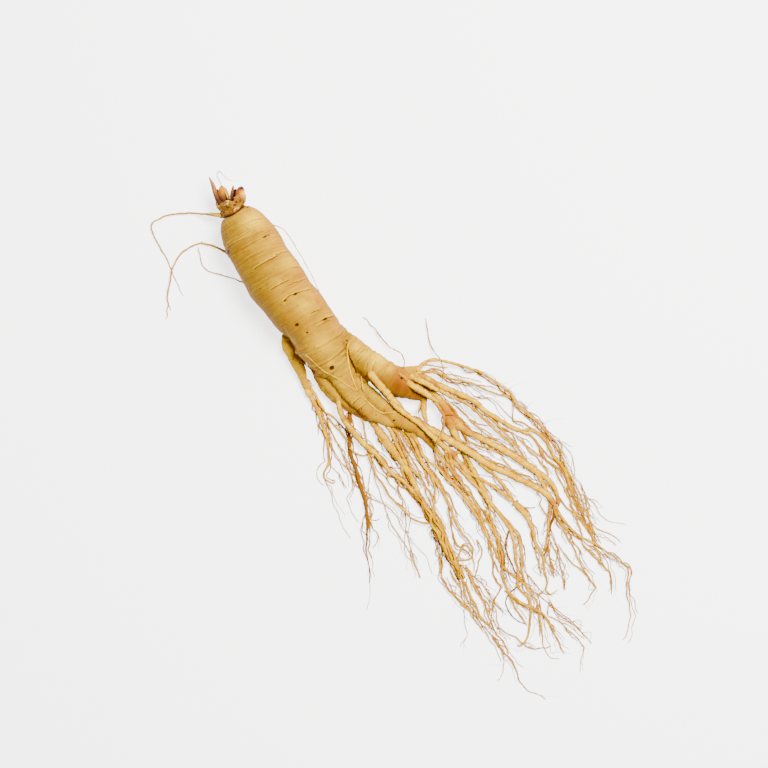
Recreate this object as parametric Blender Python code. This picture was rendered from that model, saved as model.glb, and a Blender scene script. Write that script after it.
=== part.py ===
"""Fresh ginseng root lying on its side, modelled as one grown piece with its dried bud scales.

The root is drawn on a plan sheet seen from above, x to the right and y down, in half millimetres,
and then turned so that its longest side runs along X. Z is up and the root rests on z = 0.
"""

import math

import bmesh
import bpy
from mathutils import Vector

# ---------------------------------------------------------------- driving dimensions
SHEET = 0.0005  # one unit of the plan sheet, in metres
TURN = math.radians(52.8)  # turns the sheet so that crown to tips runs along +X
BODY_SIDES = 28  # facets around the storage body
BODY_AXIS = (0.557, 0.830)  # the way the body points on the plan sheet
BODY_SINK = 1.7  # how far the body's round underside is pressed flat, in sheet units
THINNEST = 0.68  # smallest radius of a rootlet in sheet units, about a third of a millimetre
TOLERANCE = 0.42  # how closely a rootlet follows its drawn line, in sheet units
GAP = 0.7  # clear space under each dried piece on the crown, in sheet units

# colours: linear RGB
ROOT_TAN = (0.62, 0.42, 0.17, 1.0)
SCALE_BROWN = (0.22, 0.10, 0.035, 1.0)
SCALE_AMBER = (0.48, 0.21, 0.05, 1.0)
STUB_DARK = (0.035, 0.018, 0.010, 1.0)
BUD_CREAM = (0.66, 0.42, 0.20, 1.0)

# ---------------------------------------------------------------- storage body
# centre x, centre y and radius from the neck down to the fork
BODY = (
    (234.0, 210.5, 10.8),
    (234.6, 212.8, 12.5),
    (236.0, 215.4, 17.3),
    (238.4, 219.9, 21.2),
    (241.3, 224.8, 23.7),
    (244.6, 231.3, 25.7),
    (247.8, 236.4, 26.7),
    (251.1, 241.4, 27.7),
    (255.1, 247.1, 27.8),
    (260.3, 255.7, 28.2),
    (265.2, 264.5, 28.4),
    (270.5, 272.9, 28.8),
    (275.7, 281.5, 29.2),
    (280.7, 287.8, 29.0),
    (287.2, 296.6, 27.6),
    (293.3, 304.6, 27.9),
    (298.3, 310.9, 28.0),
    (303.2, 317.2, 27.7),
    (309.4, 322.7, 26.0),
    (316.0, 331.8, 25.6),
    (322.5, 341.5, 24.0),
    (328.0, 350.5, 19.5),
)
# growth waists: distance down the body, depth and half width
WAISTS = (
    (31.0, 0.35, 1.6),
    (46.0, 0.35, 1.6),
    (61.4, 0.75, 2.0),
    (74.0, 0.35, 1.6),
    (87.0, 0.75, 2.0),
    (103.9, 0.85, 2.2),
    (124.5, 0.70, 2.0),
    (141.0, 0.70, 2.0),
)

# ---------------------------------------------------------------- crown
# a shallow cup: centre x, centre y and radius, out along the outside and back into the cup
CROWN = (
    (236.2, 219.0, 9.5),
    (234.8, 213.0, 11.2),
    (233.2, 209.5, 12.4),
    (231.8, 206.0, 14.2),
    (230.6, 202.0, 15.6),
    (229.7, 198.6, 15.6),
    (229.1, 196.4, 14.6),
    (228.9, 195.6, 13.2),
    (229.1, 196.4, 11.6),
    (229.6, 198.2, 9.2),
)
CROWN_HEIGHT = 23.0

# ---------------------------------------------------------------- legs and rootlets
# name, heights of the centre line as (share of the length, height), then x, y and radius
ROOTS = (
    ("leg_main", ((0, 23.5), (0.2, 18), (0.4, 15), (0.7, 12.5), (1, 11)),
     ((318, 337, 24.0), (323, 347.5, 21.5), (330.5, 361, 17), (338, 370, 12.5), (345, 382, 10.8),
      (352.5, 395, 8.8), (361.5, 404.5, 7.5), (371.5, 413, 6.8), (380, 418, 5.5), (388, 422, 5),
      (394, 424, 3))),
    ("leg_right", ((0, 18), (0.2, 15.5), (0.5, 14.5), (0.75, 12.5), (1, 8)),
     ((335, 330, 8), (343, 338, 8.6), (350.5, 345, 9.6), (357, 352, 11), (363, 358.5, 12.3),
      (371, 365, 13.1), (378, 370.5, 13.1), (392, 379, 13), (402, 385, 12.5), (411, 390, 9.5),
      (418, 393, 7.5), (423, 396, 5), (426, 398, 3))),
    ("leg_under", ((0, 9), (0.3, 6.5), (0.5, 8), (0.65, 8.5), (0.8, 6), (1, 3)),
     ((350, 375, 5), (362, 386, 5), (367, 392, 5.5), (375, 400, 5.8), (387, 410.5, 5.8),
      (393, 415, 7.5), (400, 420, 8.5), (408, 424, 8), (415, 428, 6.5), (421, 433, 5.3),
      (427, 439, 4.5), (432, 445, 3.6), (434, 449, 2.5))),
    ("leg_left", ((0, 14), (0.3, 9), (0.6, 7), (1, 5)),
     ((292, 333, 5), (286, 339.5, 5.2), (288.5, 346, 5.8), (291.5, 353, 6), (295, 360, 6),
      (298.5, 367, 5.6), (301, 373, 4.8), (303, 380, 3.4), (308, 392.5, 3), (311.5, 399, 2.6),
      (317.5, 412, 2.2), (322, 425, 1.8), (326, 438, 1.6), (328, 453, 1.3), (328.4, 460, 1.2),
      (327.8, 465, 1.2), (323.7, 473, 1), (323.3, 477, 0.9), (328, 482.5, 0.8))),
    ("leg_back", ((0, 9), (0.3, 7.6), (0.6, 7), (1, 4.5)),
     ((306, 350, 4), (310, 358, 5), (316, 367, 6), (321, 376, 7), (326, 384, 7.5), (331, 391, 7),
      (337, 398, 6), (345, 404, 5.2), (353, 409.5, 4.8), (361, 415, 4), (368, 420, 3.2))),
    # from the left leg
    ("left_side", ((0, 6), (0.5, 4), (1, 3)),
     ((302.5, 372, 1.8), (306, 380.5, 1.8), (314, 394.5, 1.8), (322, 408, 1.8), (327, 418, 1.2),
      (331, 432, 0.9), (335, 440, 0.9), (345, 462, 0.8), (352.5, 481, 0.8), (361, 492, 0.7))),
    ("left_twig", ((0, 3), (1, 2.5)),
     ((323.5, 411, 1.2), (330, 420, 1.1), (340, 432, 1.1), (348, 444, 1))),
    # from the back leg
    ("back_long", ((0, 7.5), (0.08, 8), (0.13, 8.2), (0.2, 6), (0.35, 4.5), (0.6, 4.5), (0.8, 3), (1, 1)),
     ((337.5, 391, 2.4), (338, 400, 2.6), (339.2, 408, 2.7), (341.8, 415.5, 2.9), (345.5, 422.5, 3),
      (350.5, 429.5, 3.2), (361.5, 442, 3.2), (367.5, 448, 3.1), (379, 458.5, 2.8), (383.5, 463.5, 2.7),
      (387.5, 469.5, 2.5), (392.5, 474.3, 2.4), (404, 483, 2.2), (409.5, 488.5, 2.5), (419, 499, 3.2),
      (427, 511.5, 3.8), (435.5, 526, 4.2), (439.5, 534, 4.8), (444, 543, 5), (449, 553, 4.6),
      (459, 571, 3.8), (462.5, 580, 3.2), (466, 597.5, 2.4), (470.5, 606, 1.9), (478.5, 619.5, 1.7),
      (486.5, 630.5, 1.4), (495, 642, 1.1), (505.5, 655.5, 0.9), (515, 667, 0.85), (520, 682.5, 0.7),
      (530, 694, 0.7), (537, 696.5, 0.7))),
    ("back_low", ((0, 5), (0.1, 4), (0.25, 3), (0.6, 3), (1, 1)),
     ((348.5, 402, 2.2), (349.3, 416, 2), (348.7, 432, 1.9), (349.3, 448, 1.9), (350.8, 456, 1.9),
      (356.3, 473, 1.9), (365.4, 506, 1.5), (367, 520, 1.4), (367.2, 528, 1), (366, 551, 0.8),
      (370, 577, 0.8))),
    ("back_cross", ((0, 4), (0.3, 2), (0.9, 1.5), (1, 3)),
     ((366, 446, 1.2), (368.5, 456, 1.1), (373, 469.5, 1.1), (385, 489, 1.1), (394.5, 502, 1),
      (410, 517.5, 1), (424, 524, 0.9), (433, 524.5, 0.9))),
    # from the main leg
    ("main_low", ((0, 8), (0.15, 6), (0.4, 5), (0.7, 4.5), (1, 5)),
     ((364, 410, 3), (368, 416, 3), (378, 430, 3.8), (383, 437.5, 4.3), (388.5, 445, 4.5),
      (393.5, 452, 4.3), (402.5, 463.5, 3.4), (410.5, 476.5, 3.2), (417, 490.5, 2.9), (424, 503, 2.6))),
    ("main_side", ((0, 10), (0.2, 8), (0.5, 6.5), (1, 5)),
     ((372, 411, 2), (377, 415.5, 2.1), (388.5, 428, 2.3), (396, 442.5, 2.1), (402.5, 456.5, 2),
      (409, 470, 1.8))),
    ("main_mid", ((0, 6), (0.2, 3), (0.8, 3), (1, 4)),
     ((396, 430, 1.1), (401.5, 442, 1), (413.5, 461.5, 1), (426.5, 487.5, 1.1), (433, 500, 1.1),
      (433.5, 512, 1.1), (443.5, 531, 1.4))),
    ("main_link", ((0, 5), (1, 3)),
     ((406, 465, 1.6), (414.5, 473, 1.3), (426, 487.5, 1))),
    # from the under leg
    ("under_a", ((0, 6), (0.1, 4), (0.3, 3), (0.7, 3), (1, 1.2)),
     ((405, 428, 2.2), (411, 438, 2.1), (417, 450.5, 2.2), (422.5, 463.5, 2), (435.5, 481, 1.8),
      (447, 500, 1.6), (454.5, 519, 1.4), (463, 535.5, 1.3), (471.5, 546, 0.9), (473.8, 552, 0.8),
      (475, 572, 0.7))),
    ("under_b", ((0, 7), (0.1, 5), (0.3, 4), (0.6, 3), (1, 2)),
     ((412, 430, 2), (417, 442, 1.9), (423, 455, 1.6), (432, 460.5, 1.4), (450, 482, 1.2),
      (463.5, 497, 1.3), (475.5, 514.5, 1.4), (485, 533, 1.3), (496.5, 552.5, 1.2), (503, 568, 1.3))),
    ("under_c", ((0, 4), (0.2, 3.5), (0.5, 2.5), (1, 1.5)),
     ((432, 443, 1.8), (441.5, 455, 1.5), (446, 461.5, 1.5), (453.5, 473.5, 1.9), (458, 479, 1.5),
      (479, 509.5, 1.2), (493.5, 532, 1.1), (500, 543.5, 1.4), (504, 564.5, 1.4), (502.5, 576, 1.4),
      (508, 590.5, 1.4), (517, 611, 1), (528.5, 628.5, 0.8))),
    ("under_d", ((0, 4.5), (1, 3)),
     ((448, 453, 1.6), (460, 470, 1.6), (478.5, 488.5, 1.7), (490.5, 507, 2))),
    # the long straight root and the rope of rootlets beside it
    ("long", ((0, 9.5), (0.1, 9), (0.3, 8.5), (0.45, 7.5), (0.6, 5.5), (1, 3.6)),
     ((394, 413, 4.5), (408, 419, 5), (424, 426, 4.7), (448, 439.5, 4.3), (472, 453.5, 4.1),
      (488, 464, 4), (504, 472, 3.7), (528, 483.5, 3.4), (543, 491.5, 3.3), (549, 496.5, 3.3),
      (552.5, 502, 3.3), (554, 508, 2.8), (561, 515, 1.8), (570, 527.5, 1.5), (581, 537.5, 1.5),
      (598.5, 546.5, 1.5), (605, 550, 0.9), (617, 559, 0.9), (629, 568, 0.8), (631.3, 574, 0.8),
      (628.7, 586, 0.7), (630, 600, 0.7))),
    ("long_rope", ((0, 4.5), (0.5, 4), (1, 3.8)),
     ((476, 459, 1.8), (492, 473, 1.9), (498, 478.5, 1.9), (511.5, 497.5, 2), (517, 505, 2.3))),
    ("over_rope", ((0, 5.5), (0.2, 3.5), (0.7, 3.6), (0.8, 3), (1, 1)),
     ((451, 453, 2), (464.5, 467.5, 1.7), (475.5, 476.5, 1.7), (494.5, 487.5, 1.7), (515.5, 503, 2.8),
      (524.5, 513, 2.8), (528.5, 518.5, 2.5), (534, 531.5, 2), (537, 544.5, 1.6), (543.5, 556, 1.5),
      (545, 563, 1.2), (549, 585, 0.9), (554, 598, 0.8))),
    ("long_drop", ((0, 3), (1, 1.3)),
     ((552, 502, 1.9), (551, 513, 1.6), (550, 530, 1.5), (545, 554, 1.2))),
    ("long_tail", ((0, 3), (1, 1)),
     ((554, 505, 1.9), (558, 516, 1.6), (565, 530.5, 1.3), (577, 552.5, 0.9), (591, 580.5, 1),
      (597.8, 590, 0.8), (592.5, 597.5, 0.7), (584, 607, 0.7))),
    # over the front
    ("front", ((0, 11), (0.15, 14), (0.4, 18), (0.5, 17.5), (0.65, 14.5), (0.8, 13.2), (0.9, 10), (1, 6)),
     ((371, 366, 2.4), (371, 376, 2.8), (373, 381, 2.7), (388, 397, 2.6), (404, 412.5, 2.7),
      (424, 428, 2.5), (441, 444, 2.1), (453, 455, 2.3))),
    # from the end of the right leg
    ("right_deep", ((0, 8), (0.15, 6), (0.3, 5.5), (0.5, 4), (1, 2.2)),
     ((408, 375, 2.5), (420, 383.5, 3), (435, 395, 3.5), (441, 402, 3.8), (451, 416, 4.5),
      (456, 422.5, 4.8), (462, 428, 4), (469, 432.5, 3.2), (492, 444, 3), (514, 456.5, 3.2),
      (534.5, 470, 3.6), (546.5, 478, 2.8), (551.5, 482.5, 2.5), (555.5, 488, 2.1), (560.5, 508, 1.5))),
    ("right_down", ((0, 5), (0.1, 5), (0.25, 3.2), (0.5, 2.5), (1, 1.3)),
     ((446, 407, 3.5), (450, 421, 4.5), (453.5, 430, 3.8), (458, 438, 3), (462.5, 447, 2.3),
      (470, 463, 2.1), (478, 479, 2), (489, 500, 2.1), (503.5, 519, 1.8), (512, 531.5, 1.7),
      (517, 562, 1.3), (519, 586, 1.3), (522, 592.5, 1.2), (527, 597, 1.2), (531, 603, 1.5),
      (532, 619.5, 1.1), (530, 635, 1.1), (524.5, 646.5, 0.9))),
    ("right_fine", ((0, 2.5), (1, 1)),
     ((494, 506, 1.2), (508, 521.5, 1.1), (520.5, 541, 1.4), (523.5, 563, 1.3), (525, 581, 1.1),
      (538, 603, 1), (543, 628, 1), (544.5, 646, 0.7), (553, 660.5, 0.7), (560, 662, 0.7))),
    ("right_link", ((0, 9), (0.5, 9.5), (1, 10)),
     ((420, 392, 3), (424, 399, 3), (424.3, 411, 2.7), (425, 417, 2.6), (429, 424, 2.6))),
    ("right_join", ((0, 8), (1, 6)),
     ((420, 395, 2.6), (430, 400, 2.5), (442, 405, 2.4))),
    ("right_upper", ((0, 9), (0.2, 6), (0.5, 4), (1, 2.2)),
     ((414, 378, 3), (420, 378, 3), (436, 383.5, 3.2), (464, 396, 3), (478, 404, 2.8), (490, 414, 2.6),
      (511, 427, 2.3), (525, 432.5, 2), (538, 433, 1.7), (543.5, 437, 2), (551.5, 448.5, 1.9),
      (566.5, 471, 1.5), (571, 485.5, 1.3), (573, 493, 1.2), (579, 508, 1), (581, 516, 0.9))),
    ("right_over", ((0, 14), (0.25, 11.5), (0.4, 10), (0.6, 7), (1, 2)),
     ((404, 374, 2), (415, 375.5, 1.9), (428.5, 383.5, 1.9), (450, 396, 1.9), (464.5, 402, 1.7),
      (484, 418.5, 1.5), (508, 440.5, 1.2), (519, 448, 1.1), (524, 460, 0.8))),
    ("right_cross", ((0, 13.5), (0.5, 11.5), (0.62, 12.5), (0.78, 14.4), (0.88, 16.2), (1, 12)),
     ((398, 376, 2), (407.5, 379, 2.2), (414, 383.5, 2.2), (432, 398, 2.1), (441, 410, 1.9),
      (443.8, 415.5, 1.5), (443.8, 428, 0.9), (438.5, 440.5, 0.9), (434.5, 452, 0.8))),
    ("outer", ((0, 13), (0.05, 13), (0.12, 10), (0.25, 5), (0.6, 3), (1, 1)),
     ((400, 373, 3.8), (409.5, 370, 3.6), (415, 369.5, 3.4), (419.5, 367.8, 2.6), (424.5, 362.5, 1.7),
      (429, 360.5, 1.5), (441, 360.3, 1.4), (456, 363.8, 1.3), (479.5, 371.2, 1.3), (499, 384, 1.2),
      (511, 392.5, 1.3), (514, 398, 1.4), (528, 413.5, 1.3), (544, 428, 1.2), (558, 443.5, 0.8),
      (566.5, 465, 0.7), (577.5, 486.5, 0.9), (587.5, 511, 0.8), (594, 525, 0.7), (604.5, 532.5, 0.7),
      (616, 538, 0.7))),
    ("outer_low", ((0, 12), (0.3, 8), (0.6, 5), (1, 3)),
     ((406, 375, 1.8), (418, 373, 1.9), (430, 371.7, 1.7), (436, 372.3, 1.7), (447, 377, 1.4),
      (473, 383.3, 1.1), (494, 393, 1), (507, 395.8, 1.2), (515, 399, 1.1))),
    # bottom tips
    ("tip_a", ((0, 2.5), (1, 1)),
     ((503, 588, 1.3), (512.5, 598, 1.5), (530.5, 608.5, 1.6), (537, 612, 1.7), (548, 621, 1.2),
      (555, 634, 0.9), (562.5, 650, 0.7))),
    ("tip_b", ((0, 1.5), (1, 0.8)),
     ((549, 584, 0.8), (549.6, 592, 0.7), (551, 604, 0.7), (549.5, 612, 0.7), (556, 620.5, 0.7), (571, 633, 0.7),
      (584.5, 648, 0.7), (583.5, 662, 0.7))),
    # fine side roots of the body
    ("side_upper", ((0, 20), (0.06, 12), (0.2, 3), (0.5, 1), (1, 1)),
     ((227, 215, 1.9), (217, 215, 1.8), (211, 214.1, 1.3), (205, 213.2, 1), (188, 211.6, 0.9),
      (168, 212.7, 0.9), (162, 214.8, 0.8), (151.5, 220, 0.8), (149, 223.5, 0.8), (148.8, 227.5, 0.75),
      (150.3, 232, 0.75), (165, 259, 0.7), (171, 273, 0.7), (181.5, 295.5, 0.7))),
    ("side_lower", ((0, 12), (0.1, 5), (0.25, 2), (0.5, 2.6), (0.7, 2.6), (1, 1)),
     ((233, 257, 1.3), (225, 251.5, 1.1), (219, 248.2, 1), (206, 243, 1), (200, 241.6, 1),
      (190, 245.3, 0.9), (181, 250.3, 0.9), (175, 258, 0.85), (170.5, 268, 0.85), (167, 285, 0.8),
      (165.3, 299, 0.7), (166.2, 304, 0.7), (164.3, 316, 0.7))),
)

# ---------------------------------------------------------------- dried pieces on the crown
# across the crown's axis, out of the cup along it, half width, half thickness
SCALE_LEFT = (
    (-10.9, 0.0, 2.9, 1.45),
    (-11.61, 7.0, 2.3, 1.15),
    (-12.48, 15.5, 1.5, 0.75),
    (-13.1, 21.6, 0.5, 0.25),
)
SCALE_AMBER_PROFILE = (
    (-4.0, 0.0, 4.4, 1.85),
    (-4.16, 4.0, 4.1, 1.72),
    (-4.31, 7.5, 2.9, 1.22),
    (-4.4, 9.8, 1.2, 0.5),
)
STUB_PROFILE = (
    (3.6, 0.0, 2.0, 2.0),
    (5.04, 3.2, 1.8, 1.8),
    (6.3, 6.0, 1.4, 1.4),
    (7.0, 7.55, 0.8, 0.8),
)
BUD_PROFILE = (
    (11.4, -0.2, 2.9, 2.9),
    (12.5, 1.6, 2.8, 2.8),
    (13.5, 3.24, 1.8, 1.8),
    (14.2, 4.38, 0.8, 0.8),
)


def clear_scene():
    for obj in list(bpy.data.objects):
        bpy.data.objects.remove(obj, do_unlink=True)


def place(x, y, z):
    """A point of the plan sheet, raised by z, in metres and turned into the part's own axes."""
    c, s = math.cos(TURN), math.sin(TURN)
    return Vector(((x * c + y * s) * SHEET, (x * s - y * c) * SHEET, z * SHEET))


def material(name, colour, roughness):
    mat = bpy.data.materials.new(name)
    mat.use_nodes = True
    shader = mat.node_tree.nodes.get("Principled BSDF")
    shader.inputs["Base Color"].default_value = colour
    shader.inputs["Roughness"].default_value = roughness
    shader.inputs["Metallic"].default_value = 0.0
    mat.diffuse_color = colour
    return mat


def height_at(heights, share):
    for (a, za), (b, zb) in zip(heights, heights[1:]):
        if share <= b:
            t = (share - a) / (b - a)
            t = t * t * (3.0 - 2.0 * t)
            return za + (zb - za) * t
    return heights[-1][1]


def off_line(p, a, b):
    ab, ap = b - a, p - a
    length = ab.dot(ab)
    t = 0.0 if length == 0 else max(0.0, min(1.0, ap.dot(ab) / length))
    return (ap - ab * t).length


def thinned(points, tolerance):
    """Drops the stations that a straight taper between their neighbours already gives."""
    keep = {0, len(points) - 1}
    spans = [(0, len(points) - 1)]
    while spans:
        lo, hi = spans.pop()
        worst, at = 0.0, None
        for i in range(lo + 1, hi):
            d = off_line(points[i], points[lo], points[hi])
            if d > worst:
                worst, at = d, i
        if at is not None and worst > tolerance:
            keep.add(at)
            spans += [(lo, at), (at, hi)]
    return [points[i] for i in sorted(keep)]


def stations(heights, drawn):
    """Centre, in sheet units with its height, and radius of each ring along a root."""
    lengths = [0.0]
    for a, b in zip(drawn, drawn[1:]):
        lengths.append(lengths[-1] + math.hypot(b[0] - a[0], b[1] - a[1]))
    rings = []
    for (x, y, r), length in zip(drawn, lengths):
        r = max(r, THINNEST)
        z = max(height_at(heights, length / lengths[-1]), r)
        rings.append(Vector((x, y, z, r)))
    return rings


def sides_for(radius):
    if radius > 10:
        return 18
    if radius > 4.5:
        return 12
    if radius > 2.4:
        return 8
    if radius > 1.35:
        return 6
    return 5


def loft(bm, rings):
    """Skins rings of points and closes both ends."""
    loops = []
    for ring in rings:
        loops.append([bm.verts.new(p) for p in ring])
    n = len(loops[0])
    for a, b in zip(loops, loops[1:]):
        for k in range(n):
            bm.faces.new((a[k], a[(k + 1) % n], b[(k + 1) % n], b[k]))
    bm.faces.new(list(reversed(loops[0])))
    bm.faces.new(loops[-1])


def rings_round(path, sides, outline):
    """Rings square to the path, carried along it without twist. outline(i, angle) is a radius."""
    centres = [place(v[0], v[1], v[2]) for v in path]
    tangents = []
    for i in range(len(centres)):
        a = centres[max(0, i - 1)]
        b = centres[min(len(centres) - 1, i + 1)]
        tangents.append((b - a).normalized())
    up = Vector((0.0, 0.0, 1.0))
    side = tangents[0].cross(up).normalized()
    rings = []
    for i, (centre, t) in enumerate(zip(centres, tangents)):
        side = (side - t * side.dot(t)).normalized()
        top = side.cross(t).normalized()
        ring = []
        for k in range(sides):
            a = 2.0 * math.pi * (k + 0.5) / sides
            r = outline(i, a) * SHEET
            ring.append(centre + side * (math.cos(a) * r) + top * (math.sin(a) * r))
        rings.append(ring)
    return rings


def mesh_object(name, bm, mat, smooth=True):
    bmesh.ops.recalc_face_normals(bm, faces=bm.faces)
    mesh = bpy.data.meshes.new(name)
    bm.to_mesh(mesh)
    bm.free()
    mesh.materials.append(mat)
    for poly in mesh.polygons:
        poly.use_smooth = smooth
    obj = bpy.data.objects.new(name, mesh)
    return obj


def body_stations():
    """The drawn body stations with extra rings at each growth waist."""
    along = [0.0]
    for a, b in zip(BODY, BODY[1:]):
        along.append(along[-1] + math.hypot(b[0] - a[0], b[1] - a[1]))
    wanted = set(round(v, 3) for v in along)
    for at, _, half in WAISTS:
        wanted = {v for v in wanted if abs(v - at) > half * 1.2}
        wanted |= {at - half, at, at + half}
    rings = []
    for s in sorted(wanted):
        s = min(max(s, 0.0), along[-1])
        i = max(j for j in range(len(along) - 1) if along[j] <= s + 1e-6)
        t = (s - along[i]) / (along[i + 1] - along[i])
        x, y, r = (BODY[i][k] + (BODY[i + 1][k] - BODY[i][k]) * t for k in range(3))
        for at, depth, half in WAISTS:
            if abs(s - at) < 1e-6:
                r -= depth
        z = max(r - BODY_SINK, 23.4 - 0.6 * max(0.0, 1 - s / 20.0)) if s < 150 else max(r - 0.6, 19.0)
        z = min(z, 27.4)
        rings.append((x, y, z, r, s))
    return rings


def main():
    clear_scene()
    scene = bpy.context.scene
    root_mat = material("root_skin", ROOT_TAN, 0.62)
    helper = bpy.data.materials.new("helper")

    # body: rings square to its axis, a little out of round
    path = body_stations()

    def body_outline(i, a):
        r, s = path[i][3], path[i][4]
        lobes = 0.014 * math.cos(2 * a + 0.5 + s * 0.012) + 0.008 * math.cos(3 * a - 0.8 + s * 0.03)
        return r * (1.0 + lobes)

    lean = (place(*BODY_AXIS, 0) - place(0, 0, 0)).normalized()
    across = lean.cross(Vector((0, 0, 1))).normalized()
    rings = []
    for i, (x, y, z, _, _) in enumerate(path):
        ring = []
        for k in range(BODY_SIDES):
            a = 2.0 * math.pi * (k + 0.5) / BODY_SIDES
            r = body_outline(i, a) * SHEET
            ring.append(place(x, y, z) + across * (math.cos(a) * r) + Vector((0, 0, math.sin(a) * r)))
        rings.append(ring)
    bm = bmesh.new()
    loft(bm, rings)
    root = mesh_object("ginseng_root", bm, root_mat)
    scene.collection.objects.link(root)

    # crown, legs and rootlets, joined to the body
    joined = bpy.data.collections.new("joined_to_body")
    scene.collection.children.link(joined)

    def add_joined(name, rings):
        bm = bmesh.new()
        loft(bm, rings)
        obj = mesh_object(name, bm, helper)
        obj.hide_render = True
        obj.display_type = "WIRE"
        joined.objects.link(obj)

    axis = (place(228.9, 195.6, 0) - place(236.2, 219.0, 0)).normalized()
    side = axis.cross(Vector((0, 0, 1))).normalized()
    rings = []
    for x, y, r in CROWN:
        c = place(x, y, CROWN_HEIGHT)
        ring = []
        for k in range(20):
            a = 2 * math.pi * k / 20
            wave = 1.0 + 0.035 * math.cos(3 * a + 0.6) + 0.02 * math.cos(5 * a)
            ring.append(c + side * (math.cos(a) * r * wave * SHEET)
                        + Vector((0, 0, 1)) * (math.sin(a) * r * wave * 0.93 * SHEET))
        rings.append(ring)
    add_joined("join_crown", rings)

    for name, heights, drawn in ROOTS:
        line = thinned(stations(heights, drawn), TOLERANCE)
        widest = sorted(v[3] for v in line)[(2 * len(line)) // 3]
        sides = sides_for(max(widest, 0.55 * max(v[3] for v in line)))
        add_joined("join_" + name,
                   rings_round(line, sides, lambda i, a, line=line: line[i][3]))

    union = root.modifiers.new("join", "BOOLEAN")
    union.operation = "UNION"
    union.operand_type = "COLLECTION"
    union.collection = joined
    union.solver = "EXACT"

    # the underside pressed flat where the heavy body rests
    bm = bmesh.new()
    bmesh.ops.create_cube(bm, size=1.0)
    floor = mesh_object("floor_cut", bm, helper, smooth=False)
    floor.scale = (0.6, 0.6, 0.04)
    floor.location = (place(400, 430, 0).x, place(400, 430, 0).y, -0.02)
    floor.hide_render = True
    floor.display_type = "WIRE"
    scene.collection.objects.link(floor)
    cut = root.modifiers.new("press", "BOOLEAN")
    cut.operation = "DIFFERENCE"
    cut.object = floor
    cut.solver = "EXACT"

    # dried pieces standing on the crown
    rim = place(228.9, 195.6, CROWN_HEIGHT)

    def on_crown(name, profile, mat, lift, sides=10):
        bm = bmesh.new()
        rings = []
        for across, out, half_wide, half_thick in profile:
            c = rim + axis * ((out + GAP) * SHEET) + side * (across * SHEET)
            c.z += lift * SHEET
            rings.append([c + side * (math.cos(2 * math.pi * k / sides) * half_wide * SHEET)
                          + Vector((0, 0, 1)) * (math.sin(2 * math.pi * k / sides) * half_thick * SHEET)
                          for k in range(sides)])
        loft(bm, rings)
        obj = mesh_object(name, bm, mat)
        scene.collection.objects.link(obj)
        return obj

    on_crown("bud_scale_left", SCALE_LEFT, material("scale_brown", SCALE_BROWN, 0.7), 0.5)
    on_crown("bud_scale_amber", SCALE_AMBER_PROFILE, material("scale_amber", SCALE_AMBER, 0.55), 3.0)
    on_crown("stem_stub", STUB_PROFILE, material("stub_dark", STUB_DARK, 0.8), 0.0)
    on_crown("dormant_bud", BUD_PROFILE, material("bud_cream", BUD_CREAM, 0.5), 0.0)

    # bring the resting box's bottom centre to the origin
    bpy.context.view_layer.update()
    deps = bpy.context.evaluated_depsgraph_get()
    low, high = Vector((1e9,) * 3), Vector((-1e9,) * 3)
    named = [o for o in scene.objects if o.type == "MESH" and not o.hide_render]
    for obj in named:
        ev = obj.evaluated_get(deps)
        mesh = ev.to_mesh()
        for v in mesh.vertices:
            p = ev.matrix_world @ v.co
            low = Vector(min(a, b) for a, b in zip(low, p))
            high = Vector(max(a, b) for a, b in zip(high, p))
        ev.to_mesh_clear()
    shift = Vector((-(low.x + high.x) / 2, -(low.y + high.y) / 2, -low.z))
    for obj in scene.objects:
        if obj.parent is None:
            obj.location += shift


main()
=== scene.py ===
import math
import random

import bmesh
import bpy
import numpy as np
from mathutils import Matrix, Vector, noise
from mathutils.bvhtree import BVHTree

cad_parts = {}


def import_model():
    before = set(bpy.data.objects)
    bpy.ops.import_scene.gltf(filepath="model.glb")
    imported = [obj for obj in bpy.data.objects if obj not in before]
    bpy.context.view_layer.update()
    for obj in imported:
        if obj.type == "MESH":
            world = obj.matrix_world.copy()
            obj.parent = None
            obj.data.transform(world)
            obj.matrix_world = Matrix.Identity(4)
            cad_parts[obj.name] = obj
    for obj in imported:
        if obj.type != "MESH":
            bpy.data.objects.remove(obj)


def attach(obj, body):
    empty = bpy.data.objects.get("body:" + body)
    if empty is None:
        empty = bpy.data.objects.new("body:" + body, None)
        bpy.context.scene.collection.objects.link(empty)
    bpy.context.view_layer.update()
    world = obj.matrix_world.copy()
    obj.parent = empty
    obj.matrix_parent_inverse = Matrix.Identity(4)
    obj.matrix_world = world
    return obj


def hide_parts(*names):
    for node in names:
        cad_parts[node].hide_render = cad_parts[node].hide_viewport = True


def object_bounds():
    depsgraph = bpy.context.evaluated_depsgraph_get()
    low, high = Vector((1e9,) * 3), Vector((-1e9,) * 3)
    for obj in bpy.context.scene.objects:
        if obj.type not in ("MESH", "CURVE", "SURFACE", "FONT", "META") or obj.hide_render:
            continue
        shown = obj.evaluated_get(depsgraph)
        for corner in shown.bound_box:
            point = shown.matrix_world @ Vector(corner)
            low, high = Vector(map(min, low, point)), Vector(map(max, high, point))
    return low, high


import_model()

CAD_BOX = [list(c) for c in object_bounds()]

# ------------------------------------------------------------------ the plan sheet
# x to the right, y down, heights above the table, all in half millimetres
SHEET = 0.0005
TURN = math.radians(52.8)
SHIFT = np.array((-0.2866822, -0.0291079, 0.0))  # where the sheet's origin lies in the frame
SEED = 20417
rng = random.Random(SEED)

AXIS = (0.557, 0.830)  # the body points this way on the sheet
ORIGIN = (235.0, 212.5)

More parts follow.
